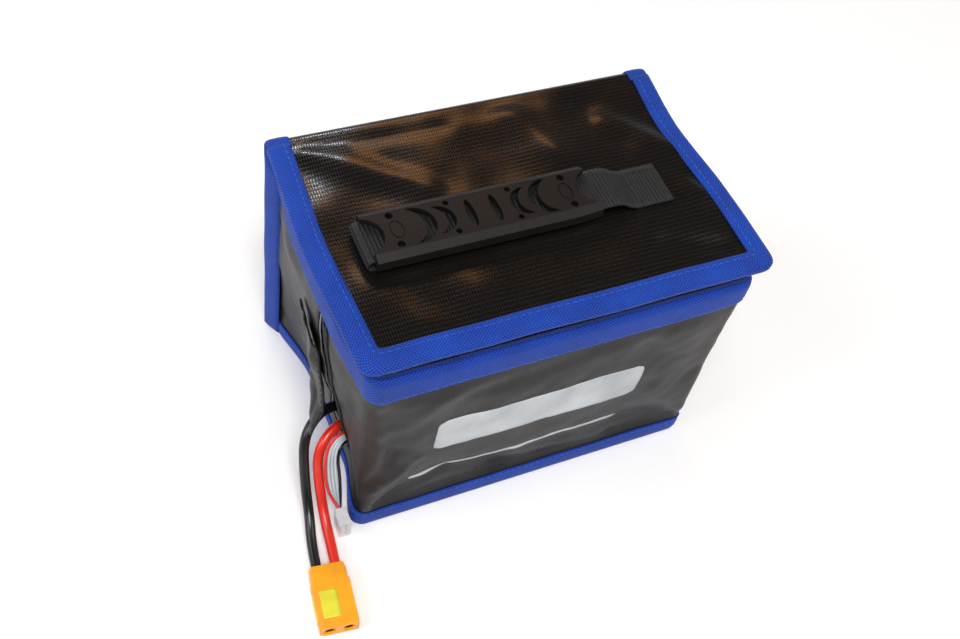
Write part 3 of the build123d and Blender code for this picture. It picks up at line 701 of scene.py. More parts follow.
def push_out(x, y, z, nx, ny):
    """How far out of its flat plan a point of the walls stands."""
    middle_y = smooth_step((y - FRONT) / FRONT_HOLD) * smooth_step((REAR - y) / REAR_HOLD)
    middle_x = smooth_step((HALF - abs(x)) / SIDE_HOLD)
    calm = smooth_step((TOP_LOW.z + 2 - z) / 14) * smooth_step((z - BAND + 2) / 8)
    wrinkle = 0.9 * crumple(x, y, z, 26, 3.1) + 0.35 * crumple(x, y, z, 9, 7.7)
    table, lines = (LEFT_PUSH, LEFT_FOLDS) if nx < 0 else (RIGHT_PUSH, RIGHT_FOLDS)
    side = read_table(table, z) * middle_y + calm * folds(lines, y, z)
    ahead = read_table(FRONT_PUSH, z) * middle_x + calm * folds(FRONT_FOLDS, x, z) if ny < 0 else 0.0
    return side * nx * nx + ahead * ny * ny + wrinkle * calm


def wall_point(x, y, z, nx, ny, out=0.0):
    """A point of the walls after they slump, moved out along the plan's normal."""
    amount = push_out(x, y, z, nx, ny) + out
    near = bell(hypot(x + HALF, y - FRONT), 0, PINCH_REACH) * sin(pi * min(max(z / TOP_LOW.z, 0), 1))
    return (x + nx * amount + CORNER_PINCH.x * near, y + ny * amount + CORNER_PINCH.y * near, z)


# The port's front edge, by height, and its straight back edge.
PORT_EDGE = ((31, -47.0), (52, -45.5), (66, -35.0), (92, -28.0), (124, -20.0))
PORT_BACK = -13.0
PORT_SILL = PORT_EDGE[0][0]
PORT_BEND = PORT_EDGE[1][0]
PORT_TOP = PORT_EDGE[-1][0]
PORT_HEM = 6

# How many stretches of cloth lie along each part of the plan.
LEFT_REAR_STEPS = 24
PORT_STEPS = 5
LEFT_FRONT_STEPS = 12
ARC_STEPS = 7
FRONT_STEPS = 80
RIGHT_STEPS = 46
PORT_COLUMNS = range(LEFT_REAR_STEPS, LEFT_REAR_STEPS + PORT_STEPS)
LEFT_END = LEFT_REAR_STEPS + PORT_STEPS + LEFT_FRONT_STEPS
FRONT_START = LEFT_END + ARC_STEPS
FRONT_END = FRONT_START + FRONT_STEPS

# The heights between rows of the skin and of the layers inside it.
SKIN_STEP = 2.2
LAYER_STEP = 4.5


def arc(centre_x, centre_y, radius, start, end, steps):
    """Stations round a corner of the plan, without the first."""
    stations = []
    for k in range(1, steps + 1):
        angle = radians(mix(start, end, k / steps))
        nx, ny = cos(angle), sin(angle)
        stations.append((centre_x + radius * nx, centre_y + radius * ny, nx, ny))
    return stations


def straight(start, end, normal, steps, first=1):
    """Stations along a straight stretch of the plan, without the first unless it is asked for."""
    places = zip(spread(start[0], end[0], steps, first), spread(start[1], end[1], steps, first))
    return [(x, y, *normal) for x, y in places]


def front_stations():
    """The stations round the front left corner, the front and the front right corner."""
    inner = HALF - CORNER
    stations = arc(-inner, FRONT + CORNER, CORNER, 180, 270, ARC_STEPS)
    stations += straight((-inner, FRONT), (inner, FRONT), (0, -1), FRONT_STEPS)
    return stations + arc(inner, FRONT + CORNER, CORNER, 270, 360, ARC_STEPS)


def wall_stations(z):
    """The plan's points and normals round the left, front and right walls at one height."""
    edge = read_table(PORT_EDGE, z)
    front = FRONT + CORNER
    stations = straight((-HALF, REAR), (-HALF, PORT_BACK), (-1, 0), LEFT_REAR_STEPS, 0)
    stations += straight((-HALF, PORT_BACK), (-HALF, edge), (-1, 0), PORT_STEPS)
    stations += straight((-HALF, edge), (-HALF, front), (-1, 0), LEFT_FRONT_STEPS)
    return stations + front_stations() + straight((HALF, front), (HALF, REAR), (1, 0), RIGHT_STEPS)


def level_list(low, high, step):
    """Heights from low to high that include the port's own levels."""
    marks = [low] + [m for m in (PORT_SILL, PORT_BEND, PORT_TOP) if low < m < high] + [high]
    levels = [low]
    for a, b in zip(marks, marks[1:]):
        levels += spread(a, b, max(1, round((b - a) / step)), 1)
    return levels


def wall_rows(levels, depth, first=0, last=None, hem=False):
    """Rows of wall points at a depth inside the outer face, less deep at the port's hem."""
    rows = []
    left, right = PORT_COLUMNS[0], PORT_COLUMNS[-1]
    for z in levels:
        row = []
        inside = PORT_SILL - PORT_HEM < z < PORT_TOP + PORT_HEM
        for index, (x, y, nx, ny) in enumerate(wall_stations(z)[first:last], first):
            gap = 0 if index in PORT_COLUMNS else min(abs(index - left), abs(index - right - 1))
            ease = min(gap / 3, 1.0) if hem and inside else 1.0
            row.append(wall_point(x, y, z, nx, ny, -mix(SKIN, depth, ease) if hem else -depth))
        rows.append(row)
    return rows


def port_skip(levels, margin=0, first=0):
    """Which faces the port leaves open, in a wall grid that starts at a station."""
    columns = range(PORT_COLUMNS[0] - margin, PORT_COLUMNS[-1] + 1 + margin)

    def skip(i, j):
        """Whether the face of this row and column lies in the port."""
        middle = (levels[i] + levels[i + 1]) / 2
        return j + first in columns and PORT_SILL - 3 * margin < middle < PORT_TOP + 3 * margin

    return skip


def make_walls():
    """The outer skin, the foam in each wall, the lining and the floor cloths."""
    levels = level_list(SKIN, SKIN_HIGH.z, SKIN_STEP)
    skin = thicken(grid_piece("wall_skin", wall_rows(levels, 0), COATED, skip=port_skip(levels)), SKIN)
    settle(skin, "bag", "coated_fabric", "outer_skin")

    levels = level_list(4, SKIN_HIGH.z - 1, LAYER_STEP)
    for name, first, last, node in (
        ("wall_foam_left", 1, LEFT_END, "left_pad"),
        ("wall_foam_front", FRONT_START, FRONT_END + 1, "front_pad"),
        ("wall_foam_right", FRONT_END + ARC_STEPS + 1, None, "right_pad"),
    ):
        rows = wall_rows(levels, SKIN, first, last)
        pad = thicken(grid_piece(name, rows, FOAM_PAD, skip=port_skip(levels, 2, first)), FOAM - 0.1)
        settle(pad, "bag", "foam_pad", node)

    levels = level_list(SKIN + 2, SKIN_HIGH.z - 0.5, LAYER_STEP)
    rows = wall_rows(levels, SKIN + FOAM, hem=True)
    lining = thicken(grid_piece("wall_lining", rows, GLASS_CLOTH, skip=port_skip(levels)), LINING)
    settle(lining, "bag", "lining_fabric", "lining")

    inner = SKIN + FOAM + LINING / 2
    rows = []
    for z in levels:
        left = wall_point(-HALF, REAR, z, -1, 0, -inner)[0]
        right = wall_point(HALF, REAR, z, 1, 0, -inner)[0]
        rows.append([(x, REAR - FOAM - 0.3, z) for x in spread(right, left, 30)])
    settle(thicken(grid_piece("rear_lining", rows, GLASS_CLOTH), LINING, 1.0), "bag", "lining_fabric")
    for name, z, inset, material, slot, nodes in (
        ("floor_lining", SKIN + 2 + LINING, SKIN + FOAM, GLASS_CLOTH, "lining_fabric", ()),
        ("floor_skin", SKIN, 6.3, COATED, "coated_fabric", ("bottom_panel",)),
    ):
        rows = []
        for y in spread(FRONT + inset, REAR - inset, 40):
            left = wall_point(-HALF, y, z, -1, 0, -inset)[0]
            rows.append([(x, y, z) for x in spread(left, HALF - inset, 40)])
        settle(thicken(grid_piece(name, rows, material), LINING), "bag", slot, *nodes)


# ---- bindings, with their stitching ----

STITCH = 2.6
STITCH_GAP = 1.2
STITCH_LIFT = 0.42
THREAD_SIDES = 6
THREAD_WIDTH = 0.34
FINE_THREAD = 0.26
THREAD_FLATNESS = 0.7

# Along a stitch: share of its length, share of its width, and how many widths it lifts off the cloth.
STITCH_SHAPE = (
    (0.0, 0.35, -0.25), (0.18, 0.85, 0.12), (0.5, 1.0, 0.3), (0.82, 0.85, 0.12), (1.0, 0.35, -0.25),
)


def stitch_row(name, path, outward, material, body, slot, width=THREAD_WIDTH):
    """Sewn stitches along a line of points, each a short thread that dips at its ends."""
    lengths = running_lengths(path)

    def at(distance, values):
        """The values' blend at a distance along the line."""
        k, t = locate(lengths, distance)
        return Vector(values[k]).lerp(Vector(values[k + 1]), t)

    points = []
    faces = []
    for number in range(int(lengths[-1] // (STITCH + STITCH_GAP))):
        start = number * (STITCH + STITCH_GAP) + STITCH_GAP / 2
        faces += bead_faces(len(points), len(STITCH_SHAPE), THREAD_SIDES)
        heading = (at(start + STITCH, path) - at(start, path)).normalized()
        for part, size, lift in STITCH_SHAPE:
            centre = at(start + part * STITCH, path)
            up = at(start + part * STITCH, outward).normalized()
            side = heading.cross(up).normalized()
            for k in range(THREAD_SIDES):
                angle = 2 * pi * k / THREAD_SIDES
                rise = lift * width + width * size * THREAD_FLATNESS * sin(angle)
                points.append(centre + up * rise + side * (width * size * cos(angle)))
    maps = [[(points[v][0], points[v][1]) for v in face] for face in faces]
    settle(new_piece(name, points, faces, material, maps), body, slot)


def row_normals(rows, index):
    """Outward normals along one row of a sheet."""
    row = rows[index]
    normals = []
    for k, (point, beside) in enumerate(zip(row, rows[index + 1])):
        ahead = Vector(row[min(k + 1, len(row) - 1)]) - Vector(row[max(k - 1, 0)])
        normals.append(ahead.cross(Vector(beside) - Vector(point)).normalized())
    return normals


def make_binding(edge, rows, body, node, seam, share=0.0, closed=False):
    """Folded tape through its rows, sewn between one row and the next."""
    tape = thicken(grid_piece(f"{edge}_binding", rows, BINDING, closed=closed, even=True), TAPE, 0.0)
    settle(tape, body, "blue_binding", node)
    normals = row_normals(rows, seam)
    line = [Vector(a).lerp(Vector(b), share) for a, b in zip(rows[seam], rows[seam + 1])]
    lifted = [p + n * STITCH_LIFT for p, n in zip(line, normals)]
    stitch_row(f"{edge}_stitches", lifted, normals, THREAD, body, "blue_binding")


# Across the tapes of the top and the base: distance out from the wall, and height.
TOP_PROFILE = (
    (0.45, 0.0), (0.75, 1.2), (0.95, 4.0), (0.95, 8.0), (0.85, 11.5), (0.5, 13.8),
    (-0.8, 14.7), (-2.4, 14.8), (-3.9, 14.3), (-4.5, 12.0), (-4.55, 6.0), (-4.5, 1.0),
)
BASE_PROFILE = (
    (0.35, 11.4), (0.8, 10.2), (1.0, 7.0), (0.95, 3.4), (0.5, 1.2), (-0.8, 0.5), (-3.5, 0.45), (-6.6, 0.45),
)
REAR_CORNER = 2.5


def make_top_binding():
    """Folded tape over the top edge of the body, deeper at the front left corner."""
    rows = []
    for out, rise in TOP_PROFILE:
        row = []
        for x, y, nx, ny in wall_stations(PORT_TOP):
            drop = 3.6 * bell(hypot(x + HALF, y - FRONT), 0, 16) + 0.7 * crumple(x, y, 0, 22, 5.0)
            z = TOP_LOW.z + rise - drop * smooth_step((8 - rise) / 8) * (out > 0)
            row.append(wall_point(x, y, z, nx, ny, out))
        rows.append(row)
    make_binding("top_edge", rows, "bag", "body_top_binding", 1, 0.3)


def ring_stations():
    """The plan round all four sides of the base."""
    front = FRONT + CORNER
    rear = PANEL_HIGH.y
    side = HALF - REAR_CORNER
    stations = straight((0, rear), (-side, rear), (0, 1), 30, 0)
    stations += arc(-side, rear - REAR_CORNER, REAR_CORNER, 90, 180, 4)
    stations += straight((-HALF, rear - REAR_CORNER), (-HALF, front), (-1, 0), 50)
    stations += front_stations()
    stations += straight((HALF, front), (HALF, rear - REAR_CORNER), (1, 0), 40)
    stations += arc(side, rear - REAR_CORNER, REAR_CORNER, 0, 90, 4)
    return stations + straight((side, rear), (0, rear), (0, 1), 30)[:-1]


def make_base_binding():
    """Folded tape round the bottom edge."""
    rows = []
    for out, z in reversed(BASE_PROFILE):
        row = []
        for x, y, nx, ny in ring_stations():
            wave = 0.6 * crumple(x, y, 0, 26, 9.0) * smooth_step((z - 5) / 5)
            row.append(wall_point(x, y, z + wave, nx, ny, out))
        rows.append(row)
    make_binding("base_edge", rows, "bag", "bottom_binding", len(rows) - 2, closed=True)


# ---- lid ----

FOLD_RADIUS = 4.0
LID_CORNER = 7.0
LID_FOLDS = (
    ((-92, 58), (-42, 20), 1.5, 8.0),
    ((-84, 64), (-20, 60), -0.8, 7.0),
    ((16, 64), (36, 18), 1.2, 9.0),
    ((56, 62), (70, 26), -0.9, 10.0),
    ((66, 40), (103, -2), 1.4, 7.0),
    ((82, -8), (104, -36), 1.5, 6.0),
    ((60, -44), (101, -60), -1.2, 7.0),
    ((-97, -12), (-72, -58), 1.0, 9.0),
    ((-40, -45), (30, -58), 0.7, 12.0),
)

# The lid's sides: how far they stand to the left, where along y, and over what length.
LEFT_BOW = (3.2, 0, 42)
RIGHT_BOW = (4.2, 26, 34)

# The height where a shape starts to turn from the wall's into the lid's, and the length of the turn.
COVER_TURN = (140, 12)
TAPE_TURN = (138, 10)

# The cover's columns, and how far the back sags and ripples.
COVER_COLUMNS = 80
BACK_SLACK = 0.8
LID_FOAM = 1.6


def lid_side(y, side):
    """Where the lid's edge stands at this depth: bowed out on the left and in on the right."""
    amount, centre, width = LEFT_BOW if side < 0 else RIGHT_BOW
    return side * LID_HALF - amount * bell(y, centre, width)


def sheet_side(y, side):
    """The lid's edge with its front corners rounded."""
    cut = min(max(LID_CORNER - (y - SHEET_LOW.y), 0.0), LID_CORNER)
    return lid_side(y, side) - side * (LID_CORNER - (LID_CORNER**2 - cut**2) ** 0.5)


def lid_rise(x, y):
    """The lid's ripples, which die out at its edges and under the handle."""
    edge = smooth_step((LID_HALF - 5 - abs(x)) / 10) * smooth_step((y - SHEET_LOW.y - 7) / 12)
    rear = smooth_step((SHEET_HIGH.y - y) / 10)
    handle = 1 - 0.95 * bell(y, HANDLE_Y, 17) * smooth_step((96 - abs(x + 5)) / 12)
    wave = folds(LID_FOLDS, x, y) + 0.5 * crumple(x, y, 0, 24, 1.3)
    return wave * max(edge, 0.12) * rear * handle


def turned(z, turn):
    """The share of a turn that is over at this height."""
    return smooth_step((z - turn[0]) / turn[1])


def cover_path():
    """The cover's line from the foot of the back, round the fold and to the front of the lid."""
    back = PANEL_HIGH.y - SKIN / 2
    top = LID_TOP - SKIN / 2
    turn = top - FOLD_RADIUS
    path = [(back, z) for z in spread(2.0, turn, 34)]
    for k in range(1, 9):
        angle = radians(90 * k / 8)
        path.append((back - FOLD_RADIUS * (1 - cos(angle)), turn + FOLD_RADIUS * sin(angle)))
    return path + [(y, top) for y in spread(back - FOLD_RADIUS, SHEET_LOW.y, 62, 1)]


def make_cover():
    """One sheet makes the back of the bag and the top of the lid, and it bends at the fold between them."""
    rows = []
    for y, z in cover_path():
        on_lid = turned(z, COVER_TURN)
        right = mix(LID_HALF, sheet_side(y, 1), on_lid)
        left = mix(-LID_HALF, sheet_side(y, -1), on_lid)
        row = []
        for t in spread(0, 1, COVER_COLUMNS):
            x = mix(right, left, t)
            slack = BACK_SLACK * (1.0 - on_lid) * sin(pi * t) * sin(pi * min(z / 150, 1))
            lift = lid_rise(x, y) if z > LID_TOP - 1 else 0.0
            row.append((x, y + slack * crumple(x, 0, z, 30, 2.0), z + lift))
        rows.append(row)
    cover = thicken(grid_piece("back_and_lid_cover", rows, FILM), SKIN, 0.0)
    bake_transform(cover)
    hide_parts("back_panel", "lid_skin", "lid_fold")


def lid_rows(drop, inset):
    """Rows of a flat layer inside the lid."""
    rows = []
    for y in spread(SHEET_HIGH.y - 1, SHEET_LOW.y + inset, 30):
        across = spread(sheet_side(y, 1) - inset, sheet_side(y, -1) + inset, 40)
        rows.append([(x, y, LID_TOP - drop + 0.6 * lid_rise(x, y)) for x in across])
    return rows


def make_lid_layers():
    """The lid's foam and its inner cloth."""
    foam = thicken(grid_piece("lid_foam", lid_rows(SKIN + 0.7, 1.0), FOAM_PAD), LID_FOAM)
    settle(foam, "lid", "foam_pad", "lid_pad")
    cloth = thicken(grid_piece("lid_inner_cloth", lid_rows(SKIN + 2.5, 1.0), GLASS_CLOTH), LINING)
    settle(cloth, "lid", "lining_fabric", "lid_lining")


# Across the lid's tape: distance in from its outer edge, and height off the lid.
LID_PROFILE = (
    (11.0, 0.25), (10.3, 0.75), (8.0, 1.0), (5.0, 1.15), (2.4, 1.0), (0.8, 0.45), (0.0, -0.8),
    (0.1, -2.4), (0.6, -3.6), (1.8, -4.25), (5.0, -4.35), (10.8, -4.35),
)


def lid_stations():
    """Outer and inner edge points of the binding's width, round the lid."""
    front = LID_LOW.y
    inner = 1.6
    rear = front + BAND + inner
    stations = []
    for y in spread(LID_HIGH.y, rear, 52):
        edge = lid_side(y, -1) - 1
        stations.append(((edge, y), (edge + BAND, y)))
    for side, start in ((-1, 180), (1, 270)):
        edge = lid_side(front, side) + side
        for k in range(11):
            angle = radians(start + 90 * k / 10)
            nx, ny = cos(angle), sin(angle)
            far = (edge - side * LID_CORNER + LID_CORNER * nx, front + LID_CORNER + LID_CORNER * ny)
            near = (edge - side * (BAND + inner) + inner * nx, rear + inner * ny)
            stations.append((far, near))
        if side < 0:
            for x in spread(edge + BAND + inner, lid_side(front, 1) + 1 - BAND - inner, 80, 1)[:-1]:
                sag = 0.7 * crumple(x, 0, 0, 40, 4.0)
                stations.append(((x, front + sag), (x, front + BAND + sag)))
    for y in spread(rear, LID_HIGH.y, 52):
        edge = lid_side(y, 1) + 1
        stations.append(((edge, y), (edge - BAND, y)))
    return stations


def make_lid_binding():
    """Folded tape round the left, front and right edges of the lid."""
    rows = []
    for depth, rise in reversed(LID_PROFILE):
        row = []
        for outer, inner in lid_stations():
            x, y = (mix(a, b, depth / BAND) for a, b in zip(outer, inner))
            wave = 0.25 * crumple(x, y, 0, 16, 6.0) * (rise > 0)
            row.append((x, y, LID_TOP + rise + wave + 0.4 * lid_rise(x, y)))
        rows.append(row)
    make_binding("lid_edge", rows, "lid", "lid_binding", len(rows) - 3)


# Across the rear tape: distance in from the sheet's edge, and height off the sheet.
REAR_OUTER = ((11.0, 0.6), (10.0, 1.0), (6.0, 1.15), (2.0, 1.0), (0.3, 0.6), (-0.4, 0.0))
REAR_ON_WALL = ((0.1, -1.6), (1.3, -4.2), (2.9, -7.0), (4.7, -10.2))
REAR_ON_LID = ((0.4, -0.8), (3.0, -1.1), (7.0, -1.1), (10.5, -1.0))


def make_rear_bindings():
    """Tape over each upright rear edge, which carries on round the fold into the lid."""
    path = [p for p in cover_path() if p[0] > LID_HIGH.y - 3]
    profile = [(p, p) for p in REAR_OUTER] + list(zip(REAR_ON_WALL, REAR_ON_LID))
    for side, name in ((-1, "left"), (1, "right")):
        rows = []
        for on_wall, on_top in profile:
            row = []
            for k, (y, z) in enumerate(path):
                before = Vector(path[max(k - 1, 0)])
                after = Vector(path[min(k + 1, len(path) - 1)])
                heading = (after - before).normalized()
                share = turned(z, TAPE_TURN)
                inset, height = (mix(a, b, share) for a, b in zip(on_wall, on_top))
                edge = mix(LID_HALF, abs(lid_side(y, side)), share) + 0.4 * crumple(0, 0, z, 30, side)
                row.append((side * (edge - inset), y + heading.y * height, z - heading.x * height))
            rows.append(row)
        if side > 0:
            rows.reverse()
        tape = thicken(grid_piece(f"rear_{name}_binding", rows, BINDING, even=True), TAPE, 0.0)
        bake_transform(tape)
        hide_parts(f"rear_edge_binding_{name}")


# ---- zip ----

ZIP_END = 66.0
ZIP_INSET = 2.0
ZIP_CLOTH = 0.55
TOOTH_PITCH = 1.35
TOOTH_SIDES = 8
TOOTH_DEPTH = 0.85
TOOTH_WIDTH = 0.46

# Up a tooth: height from its middle, and share of its width.
TOOTH_SHAPE = ((-0.62, 0.55), (-0.35, 1.0), (0.35, 1.0), (0.62, 0.55))


def chain_stations(last_y):
    """The zip's line inside the top edge, ending at this depth on the right."""
    return [s for s in wall_stations(PORT_TOP) if not (s[2] == 1 and s[1] > last_y) and s[1] < ZIP_END]


def teeth(name, stations, z, body, node):
    """A coil of small rounded teeth along the zip's line."""
    path = [Vector(wall_point(x, y, z, nx, ny, -ZIP_INSET)) for x, y, nx, ny in stations]
    outward = [Vector((nx, ny, 0)) for _, _, nx, ny in stations]
    lengths = running_lengths(path)
    points = []
    faces = []
    for number in range(int(lengths[-1] // TOOTH_PITCH)):
        k, t = locate(lengths, (number + 0.5) * TOOTH_PITCH)
        centre = path[k].lerp(path[k + 1], t)
        out = outward[k].lerp(outward[k + 1], t).normalized()
        heading = out.cross(Vector((0, 0, 1)))
        faces += bead_faces(len(points), len(TOOTH_SHAPE), TOOTH_SIDES)
        for rise, size in TOOTH_SHAPE:
            for s in range(TOOTH_SIDES):
                angle = 2 * pi * s / TOOTH_SIDES
                place = centre + out * (TOOTH_DEPTH * size * cos(angle))
                points.append(place + heading * (TOOTH_WIDTH * size * sin(angle)) + Vector((0, 0, rise)))
    settle(new_piece(name, points, faces, COIL), body, "zip_coil", node)


def make_zip():
    """Two coils and two tapes round the opening, with the CAD's slider, pull and stops."""
    lower_low, lower_high = corners_mm("zip_coil_lower")
    upper_low, upper_high = corners_mm("zip_coil_upper")
    lower = chain_stations(ZIP_END)
    upper = chain_stations(upper_high.y)
    teeth("zip_teeth_lower", lower, (lower_low.z + lower_high.z) / 2, "bag", "zip_coil_lower")
    teeth("zip_teeth_upper", upper, (upper_low.z + upper_high.z) / 2, "lid", "zip_coil_upper")
    for name, stations, low, high, body, node in (
        ("zip_cloth_lower", lower, TOP_HIGH.z - 2.5, lower_low.z + 0.2, "bag", "zip_tape_lower"),
        ("zip_cloth_upper", upper, upper_high.z - 0.2, LID_LOW.z + 0.4, "lid", "zip_tape_upper"),
    ):
        heights = spread(low, high, 4)
        rows = [[wall_point(x, y, z, nx, ny, -ZIP_INSET) for x, y, nx, ny in stations] for z in heights]
        settle(thicken(grid_piece(name, rows, ZIP_TAPE), ZIP_CLOTH, 0.0), body, "blue_zip_tape", node)


# ---- handle ----

RIB = 2.0
RIB_HEIGHT = 0.55
RIB_SINK = 0.42
STRAP = 1.6
WEB_HALF = 12.5


def strap_path():
    """The webbing's middle line: from its left tab round its curl, through the grip, to its right tab."""
    low = LID_TOP + STRAP / 2 + 0.1
    high = STRAP_HIGH.z - STRAP / 2
    radius = (high - low) / 2
    turn_x = TAB_LEFT_LOW.x
    bend = GRIP_HIGH.x + 8.5
    path = [(x, low) for x in (TAB_LEFT_HIGH.x, (TAB_LEFT_HIGH.x + turn_x) / 2, turn_x)]
    for k in range(1, 9):
        angle = radians(180 * k / 8)
        path.append((turn_x - radius * sin(angle), low + radius * (1 - cos(angle))))
    path.append((bend, high))
    path += [(mix(bend, TAB_RIGHT_LOW.x, t), mix(high, low, smooth_step(t))) for t in spread(0, 1, 10, 1)]
    return path + [(TAB_RIGHT_HIGH.x, low)]


def even_path(path, step):
    """Points every step along a line, each with its distance along it."""
    lengths = [0.0]
    for a, b in zip(path, path[1:]):
        lengths.append(lengths[-1] + hypot(b[0] - a[0], b[1] - a[1]))
    result = []
    for number in range(int(lengths[-1] // step) + 1):
        k, t = locate(lengths, number * step)
        result.append((*(mix(a, b, t) for a, b in zip(path[k], path[k + 1])), number * step))
    return result


def make_strap():
    """Ribbed webbing, sewn down at both ends."""
    across = spread(-1, 1, 8)
    places = even_path(strap_path(), RIB / 6)
    rows = []
    for k, (x, z, distance) in enumerate(places):
        before = places[max(k - 2, 0)]
        after = places[min(k + 2, len(places) - 1)]
        heading = Vector((after[0] - before[0], 0, after[1] - before[1])).normalized()
        normal = Vector((-heading.z, 0, heading.x))
        rib = RIB_HEIGHT * abs(sin(pi * distance / RIB)) - RIB_SINK
        ring = []
        for face, sign in ((across, 1), (across[::-1], -1)):
            for a in face:
                half = STRAP / 2 * (1 - 0.45 * abs(a) ** 8) + rib
                ring.append(Vector((x, HANDLE_Y + WEB_HALF * a, z)) + normal * (sign * half))
        rows.append(ring)
    strap = grid_piece("handle_webbing", rows, WEBBING, closed=True)
    low, high = (LID_TOP + STRAP) * MM, (STRAP_HIGH.z - STRAP - 0.4) * MM
    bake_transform(strap)
    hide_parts("handle_strap", "strap_tab_left", "strap_tab_right")
    top = LID_TOP + STRAP + 0.12
    for name, low, high in (("left", TAB_LEFT_LOW, TAB_LEFT_HIGH), ("right", TAB_RIGHT_LOW, TAB_RIGHT_HIGH)):
        x0, x1 = low.x + 2, high.x - 1.5
        y0, y1 = low.y + 2.5, high.y - 2.5
        box = ((x0, y0, top), (x1, y0, top), (x1, y1, top), (x0, y1, top), (x0, y0, top))
        up = [Vector((0, 0, 1))] * len(box)
        stitch_row(f"tab_stitches_{name}", box, up, BLACK_THREAD, "lid", "black_webbing", FINE_THREAD)


# ---- port flap ----

FLAP = 1.0
LOOP_TAPE = 0.7
HOOK_TAPE = 0.6

# The flap's seam and its free edge: y and z of their feet and tops.
SEAM_FOOT = (-4.0, 48.0)
SEAM_TOP = (11.4, 101.8)
EDGE_FOOT = (-39.5, 49.5)
EDGE_TOP = (-20.5, 101.0)

# How high the hook strip's foot is.
HOOK_FOOT = 52.5

# How far the flap's free edge stands off the wall, from its foot, which lies over the leads, to its top.
FLAP_GAP = ((0, 17.5), (0.3, 6.5), (0.6, 3.2), (1, 1.8))


def flap_point(u, v, out=0.0):
    """A point of the limp flap: u from its seam to its free edge, v from its foot to its top."""
    corners = zip(SEAM_FOOT, SEAM_TOP, EDGE_FOOT, EDGE_TOP)
    y, z = (mix(mix(a, b, v), mix(c, d, v), u) for a, b, c, d in corners)
    wall = read_table(LEFT_PUSH, z) * smooth_step((y - FRONT) / FRONT_HOLD)
    wall *= smooth_step((REAR - y) / REAR_HOLD)
    hang = read_table(FLAP_GAP, v) * u**0.85 + 1.6 * sin(pi * u) + 0.9 * crumple(30 * u, 50 * v, 0, 12, 8.0)
    crease = 1.4 * bell(u - 0.75 * v, 0.15, 0.14) - 1.1 * bell(u + 0.5 * v, 0.75, 0.09)
    stand = wall + 1.9 + hang + crease * smooth_step(u / 0.3) * smooth_step((1 - u) / 0.2)
    return Vector((-HALF - stand - out, y, z))


def make_flap():
    """The limp flap over the port, with loop tape inside its free edge and hook tape on the wall."""
    rows = []
    for v in spread(0, 1, 44):
        foot = max(0.0, 1 - v / 0.1)
        top = max(0.0, 1 - (1 - v) / 0.06)
        reach = 1 - 0.12 * foot**2 - 0.06 * top**2
        rows.append([flap_point(reach * k / 28, v) for k in range(29)])
    flap = thicken(grid_piece("port_flap_cloth", rows, COATED), FLAP)
    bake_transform(flap)
    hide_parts("port_flap")
    rows = [[flap_point(u, v, -1.15) for u in spread(0.66, 0.93, 8)] for v in spread(0.14, 0.94, 24)]
    tape = thicken(grid_piece("flap_loop_pile", rows, LOOP), LOOP_TAPE)
    settle(tape, "port_flap", "hook_and_loop", "flap_loop_tape")
    line = [flap_point(0.94, v, 0.1) for v in spread(0.1, 0.95, 30)]
    out = [Vector((-1, 0, 0))] * len(line)
    stitch_row("flap_stitches", line, out, BLACK_THREAD, "port_flap", "coated_fabric", FINE_THREAD)

    rows = []
    for i, z in enumerate(spread(HOOK_FOOT, PORT_TOP, 30)):
        edge = read_table(PORT_EDGE, z)
        row = []
        for a in spread(mix(15.0, 6.0, smooth_step(i / 18)), -5.5, 12):
            row.append(wall_point(-HALF, edge + a, z, -1, 0, mix(0.7, -1.0, smooth_step((a + 0.5) / 3))))
        rows.append(row)
    tape = thicken(grid_piece("port_hook_pile", rows, HOOK), HOOK_TAPE)
    settle(tape, "bag", "hook_and_loop", "port_hook_tape")


# ---- print on the front ----

PRINT = 0.12
PRINT_LIFT = 0.14


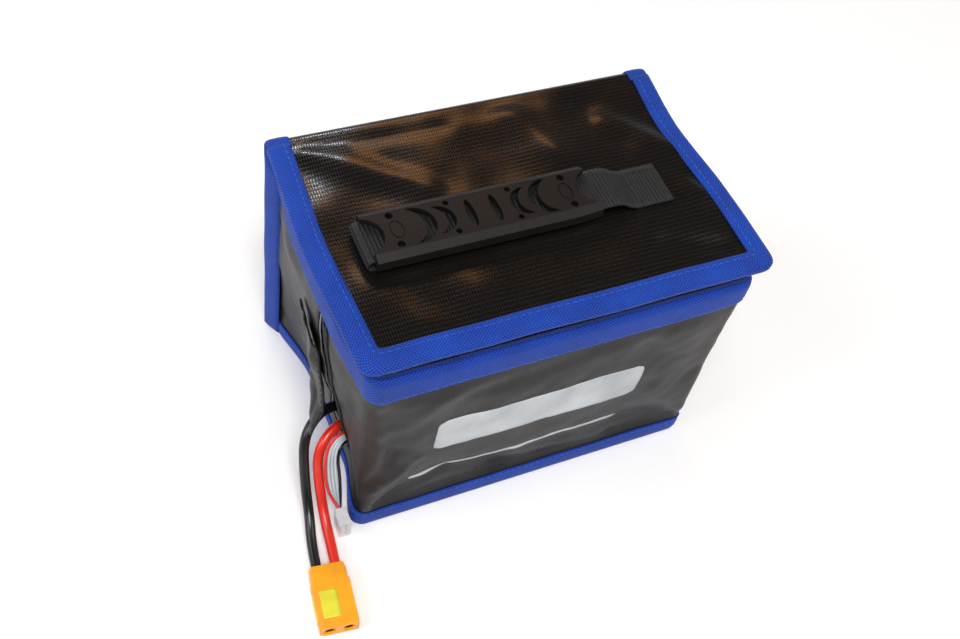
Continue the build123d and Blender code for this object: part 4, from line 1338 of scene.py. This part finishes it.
def front_print(name, x0, x1, z0, z1, radius):
    """A thin plain print with rounded ends on the front wall."""
    rows = []
    for z in spread(z0, z1, 12):
        reach = min(z - z0, z1 - z)
        cut = radius - (radius**2 - max(radius - reach, 0) ** 2) ** 0.5
        rows.append([wall_point(x, FRONT, z, 0, -1, PRINT_LIFT) for x in spread(x0 + cut, x1 - cut, 60)])
    settle(thicken(grid_piece(name, rows, INK), PRINT), "bag", "coated_fabric")


# ---- the CAD nodes that stay, and the connector's blank label ----

NODE_MATERIALS = (
    (BOARD, "base_board"),
    (FOAM_PAD, "back_pad", "cell_spacers"),
    (DARK_METAL, "zip_stops", "zip_slider", "zip_pull"),
    (RUBBER, "handle_grip"),
    (WRAP, "battery_wrap"),
    (END_CAP, "lead_end_cap"),
    (FOIL, "cell_1", "cell_2", "cell_3", "cell_4"),
    (TAB_METAL, "cell_tabs", "balance_terminals"),
    (CIRCUIT, "balance_board"),
    (WHITE_NYLON, "balance_plug"),
    (YELLOW_NYLON, "connector_cap", "connector_housing"),
    (GOLD, "connector_sockets"),
)
LABEL_START = 14.0
LABEL_END = 29.0


def paint_nodes():
    """Gives each CAD node that stays its material."""
    for material, *nodes in NODE_MATERIALS:
        for node in nodes:
            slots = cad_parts[node].data.materials
            slots.clear()
            slots.append(material)


def make_label():
    """A blank label wrapped over the connector's upper face and its outer side."""
    high = corners_mm("connector_housing")[1].z
    outline = (
        (-2.0, high + PRINT), (6.8, high + PRINT), (9.55, high - 2.2),
        (10.15, high - 3.0), (10.15, high - 8.0),
    )
    line = []
    for (a0, z0), (a1, z1) in zip(outline, outline[1:]):
        line += zip(spread(a0, a1, 4)[:-1], spread(z0, z1, 4)[:-1])
    rows = []
    for ahead in spread(LABEL_START, LABEL_END, 16):
        places = [(CONNECTOR + AHEAD * ahead + ASIDE * a, z) for a, z in [*line, outline[-1]]]
        rows.append([(place.x, place.y, z) for place, z in places])
    settle(thicken(grid_piece("blank_label", rows, LABEL), PRINT, 0.0), "bag", "connector_nylon")


make_camera()
make_cords()
make_studio()
make_walls()
make_top_binding()
make_base_binding()
make_cover()
make_lid_layers()
make_lid_binding()
make_rear_bindings()
make_zip()
make_strap()
make_flap()
front_print("print_patch", -64, 52, 64, 93, 5)
front_print("print_line", -74, 50, 36, 39.5, 1.7)
make_label()
paint_nodes()
